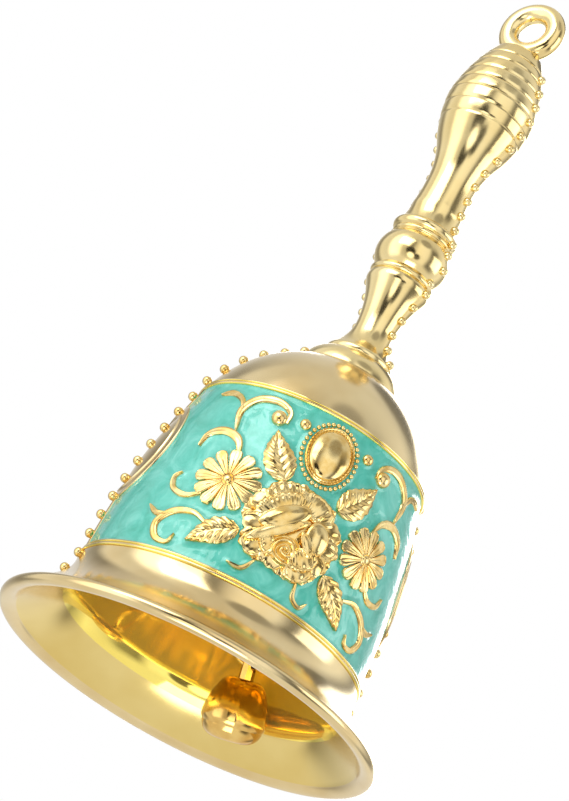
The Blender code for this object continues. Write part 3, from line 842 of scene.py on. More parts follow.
@dataclass(frozen=True)
class Rose:
    """The full-blown rose: pleated outer petals, smooth inner ones and a rolled heart."""

    centre: tuple[float, float] = (-0.9, 21.8)
    heart: tuple[float, float] = (0.33, -3.4)
    heart_radius: float = 2.25
    rim: tuple[tuple[float, float], ...] = (
        (-6.6, 2.5), (-5.4, 4.5), (-5.3, 5.1), (-3.4, 6.3), (-0.8, 7.2), (0.7, 6.8), (2.9, 6.5), (4.6, 5.9),
        (4.9, 4.5), (6.4, 3.7), (7.1, 2.8), (7.0, 1.4), (7.9, 0.6), (7.0, -0.9), (7.3, -2.0), (6.1, -3.9),
        (5.2, -5.7), (3.2, -6.7), (0.5, -6.6), (-1.6, -6.3), (-3.9, -6.3), (-6.0, -4.9), (-6.0, -2.9),
        (-7.2, -1.0), (-7.5, 0.9))

    def petals(self) -> list[Petal]:
        """All the petals, from the outer ring in."""
        return [
            Petal(-5.3, 2.0, 2.3, 2.0, 160, 0.50, 0.14, 0.16, 33, 0.09),
            Petal(-5.2, -2.0, 2.3, 2.1, 200, 0.58, 0.14, 0.16, 33, 0.09),
            Petal(-2.8, 4.3, 3.0, 2.3, 35, 0.62, 0.14, 0.18, 37, 0.09),
            Petal(1.9, 4.7, 3.0, 2.1, -20, 0.54, 0.16, 0.18, 37, 0.09),
            Petal(4.7, 3.0, 2.2, 2.4, 30, 0.48, 0.14, 0.18, 35, 0.09),
            Petal(5.4, 0.3, 2.2, 1.8, 5, 0.60, 0.14, 0.18, 33, 0.09),
            Petal(5.0, -2.6, 2.1, 1.9, -25, 0.50, 0.14, 0.18, 33, 0.09),
            Petal(-3.6, -4.2, 2.4, 2.1, 215, 0.50, 0.14, 0.18, 36, 0.09),
            Petal(-0.9, -5.0, 2.4, 1.8, 255, 0.58, 0.14, 0.18, 36, 0.09),
            Petal(3.3, -5.0, 2.2, 1.6, 38, 0.66, 0.16, 0.20, 33, 0.09),
            Petal(-2.6, 2.5, 4.0, 1.75, 42, 0.84, 0.22, 0.10, 39, 0.045),
            Petal(3.0, -3.3, 2.3, 1.7, 43, 0.92, 0.22, 0.20, 29, 0.09),
            Petal(3.5, 0.5, 2.5, 1.75, -79, 0.92, 0.62, 0.06),
            Petal(-1.6, 1.1, 3.8, 1.5, 42, 1.02, 0.50, 0.04),
            Petal(-1.9, -1.3, 4.6, 0.95, 43, 0.98, 0.26, 0.14),
            Petal(2.5, -1.2, 1.9, 0.70, 130, 1.22, 0.24, 0.08),
            Petal(-2.4, -3.4, 2.1, 1.1, 118, 0.86, 0.16, 0.14, 31, 0.08),
        ]

    def carve(self, relief: Relief) -> None:
        """Add the rose as one shape, its edge lobed like its outer petals."""
        petals = self.petals()
        rim = np.array(self.rim)
        turns, reaches = np.arctan2(rim[:, 1], rim[:, 0]), np.hypot(rim[:, 0], rim[:, 1])
        order = np.argsort(turns)
        turns, reaches = turns[order], reaches[order]

        def edge(angle: np.ndarray) -> np.ndarray:
            """Radius of the lobed edge, finely pleated."""
            wrapped = (angle + math.pi) % math.tau - math.pi
            pleats = 1 + 0.013 * np.cos(29 * angle + 1.3 * np.sin(5 * angle))
            return np.interp(wrapped, turns, reaches, period=math.tau) * pleats

        def crown(t: np.ndarray, x: np.ndarray, y: np.ndarray) -> np.ndarray:
            """Highest of all the petals and of the spiral heart, over a pleated ground."""
            angle = np.arctan2(y, x)
            ground = 0.34 + 0.12 * np.cos(33 * angle) * t ** 2
            shells = np.max([petal.lift(x, y) for petal in petals], axis=0)
            dx, dy = x - self.heart[0], y - self.heart[1]
            reach, turn = np.hypot(dx, dy), np.arctan2(dy, dx)
            phase = math.tau * reach / 1.1 - turn + 0.4 * np.sin(3 * turn)
            coil = 0.26 * np.cos(phase)
            heart = np.where(reach < self.heart_radius, 1.16 - 0.16 * reach ** 2 / self.heart_radius + coil, -9.0)
            return 1.2 * np.maximum(np.maximum(shells, heart), ground) * (1 - 0.35 * t ** 14)

        relief.boss(self.centre, edge, crown, 96, 280)


@dataclass(frozen=True)
class Cabochon:
    """The oval boss with its double frame and ring of tiny beads."""

    centre: tuple[float, float] = (-0.6, 35.0)
    half_width: float = 3.6
    aspect: float = 1.30
    bead_half_width: float = 4.12
    bead_half_height: float = 5.22
    bead_radius: float = 0.33
    beads: int = 36

    def carve(self, relief: Relief, shop: Workshop) -> None:
        """Add the dome in its frame, and the beads round it."""
        def crown(t: np.ndarray, x: np.ndarray, y: np.ndarray) -> np.ndarray:
            """Lift: domed middle, groove, and two rolled frames."""
            dome = 0.34 + 1.05 * np.sqrt(np.clip(1 - (t / 0.84) ** 2, 0, 1))
            rope = 1 + 0.25 * np.cos(44 * np.arctan2(y / self.aspect, x) + 30 * t)
            frames = 0.32 * rope * np.exp(-((t - 0.90) / 0.030) ** 2) + 0.24 * np.exp(-((t - 0.97) / 0.024) ** 2)
            return np.where(t < 0.84, dome, 0.34) + frames

        relief.boss(self.centre, circle(self.half_width), crown, 64, 176, self.aspect)
        spots = []
        for step in range(self.beads):
            angle = math.tau * step / self.beads
            spots.append(Vector((self.bead_half_width * math.cos(angle),
                                 self.bead_half_height * math.sin(angle), 0.16)))
        ring = shop.beaded("cabochon_beads", spots, self.bead_radius, shop.finishes.relief, 10, 6)
        relief.add_mesh(ring, self.centre)


@dataclass(frozen=True)
class FieldOrnament:
    """The cast ornament of one enamelled field."""

    surface: FieldSurface

    def scrolls(self) -> list[Scroll]:
        """All the scroll strokes, left then right."""
        return [
            Scroll(((-8.2, 36.6), (-8.3, 38.6), (-10.4, 39.7), (-13.6, 39.0), (-15.4, 36.4), (-14.6, 32.6)), 0.48),
            Scroll(((-19.2, 28.9), (-18.6, 31.2), (-16.2, 32.3), (-13.6, 31.4), (-12.3, 28.7)), 0.50, 0.3),
            Scroll(((-15.3, 36.6), (-16.2, 38.4), (-18.3, 39.3), (-20.4, 38.7)), 0.38),
            Scroll(((-14.8, 21.4), (-17.2, 20.5), (-19.6, 21.2), (-20.4, 23.0), (-19.4, 24.0)), 0.36),
            Scroll(((-12.2, 17.4), (-14.6, 18.3), (-17.6, 17.6), (-19.4, 15.4), (-18.4, 13.2), (-16.2, 12.8),
                    (-15.6, 14.3)), 0.42),
            Scroll(((-18.2, 17.0), (-20.2, 16.8), (-22.0, 17.9)), 0.34),
            Scroll(((-3.6, 15.2), (-4.8, 13.4), (-7.0, 13.4)), 0.28),
            Scroll(((3.0, 15.4), (3.5, 13.4), (4.9, 12.7), (5.8, 13.8)), 0.28),
            Scroll(((7.2, 36.3), (7.6, 38.4), (9.6, 39.5), (12.2, 39.0), (14.3, 36.6), (13.6, 32.8)), 0.48),
            Scroll(((10.4, 28.9), (11.6, 31.2), (13.9, 32.2), (16.4, 31.2), (17.3, 28.9)), 0.50, 0.3),
            Scroll(((14.3, 36.4), (15.4, 38.2), (17.0, 38.9), (18.6, 38.3)), 0.38),
            Scroll(((13.5, 21.4), (15.4, 20.4), (17.7, 20.9), (18.5, 22.6)), 0.36),
            Scroll(((10.8, 17.6), (13.2, 18.4), (16.2, 17.4), (18.0, 15.2), (17.0, 13.2), (15.0, 12.9),
                    (14.2, 14.2)), 0.42),
            Scroll(((16.8, 17.0), (18.6, 16.8), (20.2, 17.6)), 0.34),
        ]

    def carve(self, shop: Workshop) -> Relief:
        """Carve everything, still flat."""
        relief = Relief()
        Rose().carve(relief)
        for daisy in (Daisy((-12.1, 24.7), 5.0), Daisy((11.2, 24.8), 4.7, turn=0.05)):
            daisy.carve(relief, shop)
        for leaf in (Leaf((-4.6, 28.0), (-8.7, 35.0), 2.25, 0.5), Leaf((3.7, 28.1), (7.9, 34.9), 2.15, -0.4),
                     Leaf((-7.3, 18.3), (-13.6, 13.9), 1.95, -0.5), Leaf((5.9, 18.6), (12.0, 13.4), 1.95, 0.5)):
            leaf.carve(relief)
        for scroll in self.scrolls():
            scroll.carve(relief)
        for centre, radius in (((-9.4, 37.0), 1.2), ((-5.6, 37.8), 0.85), ((4.7, 38.0), 0.85), ((8.3, 36.9), 1.2)):
            relief.boss(centre, circle(radius),
                        lambda t, x, y, r=radius: 0.12 + 0.85 * r * np.sqrt(np.clip(1.02 - t ** 2, 0, 1)), 12, 28)
        Cabochon().carve(relief, shop)
        return relief


@dataclass(frozen=True)
class SideMetal:
    """The plain metal at each side of the bell: a strip under the bead row and an oval medallion."""

    surface: FieldSurface
    strip_width: float = 1.2
    half_width: float = 7.4
    half_height: float = 8.9
    rise: float = 16.9
    proud: float = 0.25

    def half_angle(self, heights: np.ndarray, grow: float) -> np.ndarray:
        """Half the angle covered by strip or medallion at some heights, grown by a margin."""
        radius = self.surface.radius(heights)
        share = (heights - self.surface.foot_z - self.rise) / (self.half_height + grow)
        oval = (self.half_width + grow) * np.sqrt(np.clip(1 - share ** 2, 0, 1))
        return np.maximum(oval, self.strip_width / 2 + grow) / radius

    def build(self, shop: Workshop, turn: float) -> bpy.types.Mesh:
        """Carve the medallion, with its flat band and sharp ridge, and the strip."""
        relief = Relief()
        middle = self.surface.foot_z + self.rise

        def crown(t: np.ndarray, x: np.ndarray, y: np.ndarray) -> np.ndarray:
            """Lift: flat outer band, sharp ridge, and a smooth swelling middle."""
            band = np.where(t > 0.985, self.proud - 0.10 * (t - 0.985) / 0.015, self.proud)
            ridge = 0.34 * np.exp(-(np.abs(t - 0.80) / 0.022) ** 1.4)
            field = self.proud - 0.12 + 0.30 * np.clip(1 - (t / 0.78) ** 2, 0, 1)
            return np.where(t > 0.80, band, field) + ridge

        relief.boss((0, middle), circle(self.half_width), crown, 64, 128, self.half_height / self.half_width)
        heights = np.linspace(self.surface.foot_z - 0.1, self.surface.head_z + 0.1, 60)
        path = np.stack([np.zeros_like(heights), heights], axis=1)
        relief.blade(path, np.full_like(heights, self.strip_width / 2),
                     lambda u, v: self.proud - 0.1 * np.abs(v) ** 4, across=7)
        return relief.mesh("side_metal", self.surface, turn, shop.finishes.cup)


@dataclass(frozen=True)
class Cup:
    """The cast cup: flared lip, enamelled fields with their relief, dome and the cone under the handle."""

    surface: FieldSurface
    mouth_radius: float
    top_z: float
    lip_roll: float = 0.85
    wall: float = 1.8
    flare_height: float = 9.8
    band_radius: float = 22.6
    border_z: float = 10.7
    border_proud: float = 0.35
    bed: float = 0.8
    dome_foot_z: float = 42.2
    dome_bulge: float = 1.55
    cone_foot: tuple[float, float] = (8.2, 54.2)
    cone_head_radius: float = 5.75
    bolt_hole: float = 1.8
    bead_radius: float = 0.74
    bead_seat: float = 0.34
    bead_start: float = 8.0
    bead_pitch: float = 3.3
    # Height from which the inside takes the bore's painted-light colour rather than the flare's.
    painted_light_bore_from: float = 5.4
    flare_foot: float = 0.7
    flare_edge: float = 27.4

    def flare(self, inset: float, steps: int) -> Outline:
        """Outline of the flare from the lip up."""
        lip = self.mouth_radius - self.lip_roll
        points = []
        for step in range(steps + 1):
            share = step / steps
            radius = self.band_radius + (lip - self.band_radius) * (1 - share) ** 2
            points.append((radius - inset, 2 * self.lip_roll + (self.flare_height - 2 * self.lip_roll) * share))
        return points

    def border(self, foot: tuple[float, float], head: tuple[float, float]) -> Outline:
        """A raised ring with a fine groove along its middle, between two places of the outline."""
        (low_r, low_z), (high_r, high_z) = foot, head
        rise, radius = high_z - low_z, max(low_r, high_r)
        outer, inner = radius + 0.55 * self.border_proud, radius + 0.3 * self.border_proud
        ring, rim = (outer, low_z + 0.03 * rise), (inner, low_z + 0.62 * rise)
        return ([foot, ring] + arc(ring, (outer, low_z + 0.55 * rise), 0.16, 6)
                + [rim] + arc(rim, (inner, high_z), 0.14, 5))

    def outside(self) -> Outline:
        """Outline of the outer face, from the lip up to the head of the cone."""
        foot, head = self.surface.foot_radius, self.surface.head_radius
        band = self.band_radius - 0.16
        outline = self.flare(0, 28)
        outline += [(self.band_radius, self.border_z - 0.14), (band, self.border_z - 0.08)]
        outline += self.border((band, self.border_z), (foot, self.surface.foot_z))
        outline += self.surface.outline(self.bed, 24)
        outline += self.border((head - 0.1, self.surface.head_z), (head, self.dome_foot_z))
        dome_foot = (head - 0.12, self.dome_foot_z + 0.05)
        outline += [dome_foot] + arc(dome_foot, self.cone_foot, self.dome_bulge, 26)
        groove = (self.cone_foot[0] - 0.25, self.cone_foot[1] + 0.05)
        outline += [groove] + arc(groove, (self.cone_head_radius, self.top_z), 0.50, 18)
        return outline

    def inside(self) -> Outline:
        """Outline of the bore, from the ceiling down to the lip."""
        surface = self.surface
        ceiling = (self.cone_foot[0] - self.wall, self.cone_foot[1] - self.wall)
        dome_foot = (surface.head_radius - self.wall, surface.head_z)
        low = [(r, z - self.lip_roll) for r, z in self.flare(self.wall, 20)]
        field = surface.outline(self.wall, 16)
        bore = low + field[:-1] + [dome_foot] + arc(dome_foot, ceiling, self.dome_bulge, 16)
        return list(reversed(bore))

    def bead_spots(self, turn: float) -> list[Vector]:
        """Centres of the beads of one row."""
        spots = []
        plain = self.flare(0, 28) + [(self.band_radius, self.border_z)] + self.surface.outline(-0.25, 24)
        plain += [(self.surface.head_radius + 0.2, self.dome_foot_z)]
        plain += arc(plain[-1], self.cone_foot, self.dome_bulge, 26) + [(self.cone_head_radius, self.top_z)]
        for point, normal in walk(plain, self.bead_start, self.bead_pitch):
            seat = point + normal * self.bead_seat
            if seat.y + self.bead_radius < self.top_z:
                spots.append(Vector((seat.x * math.sin(turn), -seat.x * math.cos(turn), seat.y)))
        return spots

    def build(self, shop: Workshop) -> None:
        """Make the shell, beads, side metal and both fields."""
        roll_centre = Vector((self.mouth_radius - self.lip_roll, self.lip_roll))
        roll = [tuple(roll_centre + self.lip_roll * Vector((math.cos(a), math.sin(a))))
                for a in np.radians(np.linspace(-90, 90, 13))]
        crown = [(self.bolt_hole, self.top_z), (self.bolt_hole, self.cone_foot[1] - self.wall)]
        lip = arc(self.inside()[-1], (self.mouth_radius - self.lip_roll, 0.0), 0.22, 10)[:-1]
        shell = shop.turned("cup_shell", roll + self.outside()[1:] + crown + self.inside() + lip,
                            shop.finishes.cup, 256, closed=True, crease=28)
        # The inside of the shell takes two painted-light copies of the plate: the lighter bore high up and the
        # yellower flare near the lip. The top of the cone takes the handle's finish.
        for finish in (shop.finishes.bore, shop.finishes.handle, shop.finishes.flare):
            shell.materials.append(finish)
        for face in shell.polygons:
            middle, normal = face.center / MM, face.normal
            inward = normal.x * middle.x + normal.y * middle.y < 0 or normal.z < -0.3
            if inward and middle.z > self.flare_foot and math.hypot(middle.x, middle.y) < self.flare_edge:
                face.material_index = 1 if middle.z > self.painted_light_bore_from else 3
            elif middle.z > self.cone_foot[1] + 0.02:
                face.material_index = 2
        place("cup_shell", shell, Body.BELL, Slot.CUP, "bell_cup")
        right, left = math.pi / 2, -math.pi / 2
        spots = self.bead_spots(right) + self.bead_spots(left)
        place("cup_beads", shop.beaded("cup_beads", spots, self.bead_radius, shop.finishes.relief),
              Body.BELL, Slot.CUP)
        side_metal = SideMetal(self.surface)
        for name, turn in (("side_medallion_right", right), ("side_medallion_left", left)):
            place(name, side_metal.build(shop, turn), Body.BELL, Slot.CUP)
        for side, node in ((Side.FRONT, "enamel_front"), (Side.BACK, "enamel_back")):
            word = side.name.lower()
            relief = FieldOrnament(self.surface).carve(shop)
            fill = EnamelFill(self.surface, side_metal).build(shop, relief, side)
            place(f"enamel_fill_{word}", fill, Body.BELL, Slot.ENAMEL, node)
            ornament = relief.mesh("ornament", self.surface, side.value, shop.finishes.relief)
            place(f"cast_ornament_{word}", ornament, Body.BELL, Slot.CUP)


def nearest(share: np.ndarray, count: int) -> np.ndarray:
    """Index of the nearest of evenly spaced places, by the share of the way along them."""
    return np.clip((share * (count - 1)).round().astype(int), 0, count - 1)


@dataclass(frozen=True)
class EnamelFill:
    """Enamel of one field, up to the metal all round, that creeps up a little wherever it meets metal."""

    surface: FieldSurface
    side_metal: SideMetal
    rows: int = 140
    columns: int = 330
    overlap: float = 0.12
    depth: float = 0.5
    sink: float = 0.10
    creep: float = 0.17
    creep_reach: int = 3

    def grid(self) -> np.ndarray:
        """Flat places of the fill, row by row from its foot."""
        foot, head = self.surface.foot_z - 0.05, self.surface.head_z + 0.05
        heights = np.linspace(foot, head, self.rows)
        half = (math.pi / 2 - self.side_metal.half_angle(heights, -self.overlap)) * self.surface.radius(heights)
        across = np.linspace(-1, 1, self.columns)
        return np.stack([half[:, None] * across, heights[:, None] * np.ones_like(across)], axis=2)

    def creep_of(self, flat: np.ndarray, relief: Relief) -> np.ndarray:
        """Height that the enamel creeps up near the relief and at its own edges, from 0 to 1."""
        points = np.concatenate(relief.verts)
        points = points[points[:, 2] > 0]
        foot, head = flat[0, 0, 1], flat[-1, 0, 1]
        row = nearest((points[:, 1] - foot) / (head - foot), self.rows)
        column = nearest((points[:, 0] / flat[row, -1, 0] + 1) / 2, self.columns)
        wet = np.zeros((self.rows, self.columns))
        wet[row, column] = 1.0
        wet[[0, -1]] = wet[:, [0, -1]] = 1.0
        for _ in range(self.creep_reach):
            padded = np.pad(wet, 1, mode="edge")
            wet = sum(padded[i:i + self.rows, k:k + self.columns] for i in range(3) for k in range(3)) / 9
        return np.clip(wet * 1.8, 0, 1)

    def build(self, shop: Workshop, relief: Relief, side: Side) -> bpy.types.Mesh:
        """Make the fill under a field's relief."""
        flat = self.grid()
        rows, columns = self.rows, self.columns
        top = self.creep * self.creep_of(flat, relief) - self.sink
        layers = [np.concatenate([flat, lift[:, :, None]], axis=2).reshape(-1, 3)
                  for lift in (np.full(top.shape, -self.depth), top)]
        size = rows * columns
        faces: Faces = []
        for layer in (0, size):
            faces += [(layer + i * columns + k, layer + i * columns + k + 1, layer + (i + 1) * columns + k + 1,
                       layer + (i + 1) * columns + k) for i in range(rows - 1) for k in range(columns - 1)]
        rim = list(range(columns)) + [i * columns + columns - 1 for i in range(1, rows)]
        rim += [(rows - 1) * columns + k for k in range(columns - 2, -1, -1)]
        rim += [i * columns for i in range(rows - 2, 0, -1)]
        faces += [(a, b, b + size, a + size) for a, b in zip(rim, rim[1:] + rim[:1])]
        mesh = mesh_from("enamel", self.surface.wrap(np.concatenate(layers), side.value), faces)
        mesh.materials.append(shop.finishes.enamel)
        return cleaned(mesh, 60.0)


# ---- Handle ----

@dataclass(frozen=True)
class Handle:
    """The cast handle: foot, collars, ball, ribbed grip and hanging ring."""

    foot_z: float
    top_z: float
    turn: float = 47.5
    foot_radius: float = 5.45
    seat_gap: float = 0.28
    ring_radius: float = 3.85
    ring_section: float = 1.6
    bead_radius: float = 0.70
    bead_seat: float = 0.12
    bead_start: float = 1.2
    bead_pitch: float = 2.8
    bead_rise: float = 57.5
    rib_rises: tuple[float, ...] = (44.0, 46.3, 48.7, 50.8, 52.9, 55.0, 57.0)
    rib_depth: float = 0.13
    rib_crown: float = 0.04
    # Each turned stretch: radius and rise at its foot, the same at its head, bulge of its arc and steps along it.
    stations: tuple[tuple[float, float, float, float, float, int], ...] = (
        (5.15, 0.9, 3.12, 6.9, -0.70, 18), (3.12, 6.9, 4.85, 13.2, -0.30, 14),
        (4.85, 13.2, 4.80, 14.9, 0.22, 8), (4.72, 15.0, 4.72, 15.95, 0.42, 10),
        (4.55, 16.1, 4.55, 22.4, 1.32, 26), (4.62, 22.5, 4.70, 23.2, 0.24, 7),
        (4.78, 23.3, 4.78, 24.8, 0.50, 12), (4.62, 24.9, 4.12, 28.2, -0.18, 8),
        (4.12, 28.2, 3.87, 33.6, -0.10, 10), (3.87, 33.6, 5.43, 40.1, -0.33, 14),
        (5.43, 40.1, 7.25, 48.4, 0.40, 60), (7.25, 48.4, 3.95, 59.2, 0.55, 80),
        (3.95, 59.2, 0.0, 60.9, 0.3, 8))

    def outline(self) -> Outline:
        """Outline of the outside, from the foot to the cap under the ring."""
        def at(radius: float, rise: float) -> tuple[float, float]:
            """A place of the outline by its rise above the foot."""
            return radius, self.foot_z + rise

        outline = [at(0, -self.seat_gap), at(self.foot_radius - 0.2, -self.seat_gap)]
        outline += arc(outline[-1], at(self.foot_radius - 0.22, 0.8), 0.20, 8)
        for low_radius, low, high_radius, high, bulge, steps in self.stations:
            start, end = at(low_radius, low), at(high_radius, high)
            outline += [start] + arc(start, end, bulge, steps)
        return [(radius - self.rib_cut(height), height) for radius, height in outline]

    def rib_cut(self, height: float) -> float:
        """Depth of the ribbed grip's scallops at a height: rounded rolls between sharp grooves."""
        rise = height - self.foot_z
        for low, high in zip(self.rib_rises, self.rib_rises[1:]):
            if low <= rise < high:
                across = abs(2 * (rise - low) / (high - low) - 1)
                return (self.rib_depth + self.rib_crown) * across ** 5 - self.rib_crown
        edge = min(abs(rise - self.rib_rises[0]), abs(rise - self.rib_rises[-1]))
        return self.rib_depth * max(0.0, 1 - edge / 0.4) ** 2

    def build(self, shop: Workshop) -> None:
        """Make the turned body, ring and bead rows as one piece."""
        material = shop.finishes.handle
        outline = self.outline()
        body = shop.turned("handle_body", outline, material, 128, crease=30)
        turn = math.radians(self.turn)
        heading = Vector((math.sin(turn), -math.cos(turn), 0))
        centre = Vector((0, 0, self.top_z - self.ring_radius - self.ring_section))
        ring = shop.wired("hanging_ring", round_path(centre, self.ring_radius, heading, UP),
                          self.ring_section, material, 32)
        spots = []
        for point, normal in walk(outline[2:], self.bead_start, self.bead_pitch):
            seat = point + normal * self.bead_seat
            if seat.y < self.foot_z + self.bead_rise:
                spots += [side * seat.x * heading + Vector((0, 0, seat.y)) for side in (1, -1)]
        beads = shop.beaded("handle_beads", spots, self.bead_radius, material)
        place("handle_casting", joined("handle_casting", [body, ring, beads]), Body.BELL, Slot.HANDLE, "handle")


# ---- Fasteners and clapper ----

@dataclass(frozen=True)
class EyeBolt:
    """The eye bolt that clamps cup to handle and carries the clapper."""

    hinge: Vector
    across: Vector
    top_z: float
    eye_radius: float = 2.3
    wire: float = 0.55
    shank: float = 1.5
    chamfer: float = 0.3

    def build(self, shop: Workshop) -> None:
        """Make the eye and shank, and dress the nut and washer that the frame brings."""
        material = shop.finishes.fastener
        centre = self.hinge + Vector((0, 0, self.eye_radius))
        eye = shop.wired("eye", round_path(centre, self.eye_radius, self.across, UP), self.wire, material, 20)
        foot, top, narrow = centre.z + self.eye_radius, self.top_z, self.shank - self.chamfer
        shank = shop.turned("shank", [(0, top), (narrow, top), (self.shank, top - self.chamfer),
                                      (self.shank, foot + self.chamfer), (narrow, foot), (0, foot)], material, 48)
        place("eye_bolt_turned", joined("eye_bolt_turned", [eye, shank]), Body.BELL, Slot.FASTENER, "eye_bolt")
        for node in ("bolt_nut", "crown_washer"):
            for holder in frame["nodes"][node].material_slots:
                holder.material = material


@dataclass(frozen=True)
class Chain:
    """The leaning chain: long wire link, round ring and clapper, placed by its hinges."""

    eye_hinge: Vector
    link_hinge: Vector
    ring_hinge: Vector
    swing_axis: Vector
    wire: float = 0.35
    link_width: float = 4.4
    loop_pitch: float = 1.2
    ring_pitch: float = 1.0
    ring_radius: float = 4.0
    bend_steps: int = 32

    def basis(self, hinge: Vector) -> Matrix:
        """Placement whose Z runs up the chain and whose Y is the swing axis, with its origin on a hinge."""
        up = (self.eye_hinge - self.link_hinge).normalized()
        across = self.swing_axis.normalized()
        heading = across.cross(up)
        turn = Matrix((heading, across, up)).transposed().to_4x4()
        return Matrix.Translation(hinge * MM) @ turn

    def build(self, shop: Workshop) -> None:
        """Make the link, the ring and the clapper."""
        material = shop.finishes.chain
        half = self.link_width / 2
        top, bottom = self.loop_pitch, -(self.eye_hinge - self.link_hinge).length
        path = []
        for height, first in ((top - half, 0.0), (bottom + half, math.pi)):
            for step in range(self.bend_steps + 1):
                angle = first + math.pi * step / self.bend_steps
                path.append(Vector((half * math.cos(angle), 0, height + half * math.sin(angle))))
        link = shop.wired("link", closed_path(path), self.wire, material, 20)
        link.transform(self.basis(self.eye_hinge))
        place("link_wire", link, Body.LINK, Slot.CHAIN, "clapper_link")
        centre = Vector((0, 0, self.ring_pitch - self.ring_radius))
        ring = shop.wired("ring", round_path(centre, self.ring_radius, Vector((0, 1, 0)), UP), self.wire,
                          material, 20)
        ring.transform(self.basis(self.link_hinge))
        place("ring_wire", ring, Body.RING, Slot.CHAIN, "clapper_ring")
        clapper = Clapper().mesh(shop)
        clapper.transform(self.basis(self.ring_hinge))
        place("clapper_casting", clapper, Body.CLAPPER, Slot.CLAPPER, "clapper")


@dataclass(frozen=True)
class Clapper:
    """The clapper casting: an eight-sided stem with a cross hole, and a rounded weight."""

    stem_width: float = 2.3
    stem_head: float = 1.2
    hole_radius: float = 0.78
    stem_length: float = 2.1
    stem_chamfer: float = 0.3
    stem_sunk: float = 0.6
    neck_radius: float = 1.3
    shoulder_radius: float = 3.5
    shoulder_drop: float = 1.1
    weight_height: float = 9.3
    weight_radius: float = 5.0
    widest: float = 3.4
    base_radius: float = 2.7
    bevel_height: float = 2.2
    seam_turn: float = 212.0
    seam_height: float = 0.07
    seam_width: float = 0.22

    def mesh(self, shop: Workshop) -> bpy.types.Mesh:
        """Make the casting about its hole, with the parting line that its mould left."""
        material = shop.finishes.clapper
        top = -self.stem_length
        base = top - self.weight_height
        neck, shoulder = (self.neck_radius, top), (self.shoulder_radius, top - self.shoulder_drop)
        side = (self.weight_radius, base + self.widest)
        outline = [(0, top), neck] + arc(neck, shoulder, -0.35, 10)
        outline += arc(shoulder, side, -0.25, 16)
        bevel = (self.weight_radius - 0.35, base + self.bevel_height)
        outline += arc(side, bevel, -0.12, 6) + arc(bevel, (self.base_radius, base), -0.5, 14) + [(0, base)]
        weight = shop.turned("weight", outline, material, 144, crease=24)
        seam = math.radians(self.seam_turn)
        for vert in weight.vertices:
            radius = math.hypot(vert.co.x, vert.co.y) / MM
            off = radius * abs(math.sin(math.atan2(vert.co.y, vert.co.x) - seam))
            if radius > 0.5:
                vert.co.xy *= 1 + self.seam_height * math.exp(-(off / self.seam_width) ** 2) / radius
        head, half, foot = self.stem_head, self.stem_width / 2, top - self.stem_sunk
        stem = shop.turned("stem", [(0, head), (self.stem_width * 0.38, head), (half, head - self.stem_chamfer),
                                    (half, foot), (0, foot)], material, 8, crease=20)
        bore = shop.turned("bore", [(0, 3), (self.hole_radius, 3), (self.hole_radius, -3), (0, -3)], material, 32)
        bore.transform(Matrix.Rotation(math.pi / 2, 4, "X"))
        stem.transform(Matrix.Rotation(math.pi / 8, 4, "Z"))
        # The Boolean leaves the cut stem without its creases, so it is shaded again.
        return joined("clapper_casting", [weight, cleaned(combined(stem, bore, "DIFFERENCE"), 20.0)])


# ---- Studio ----

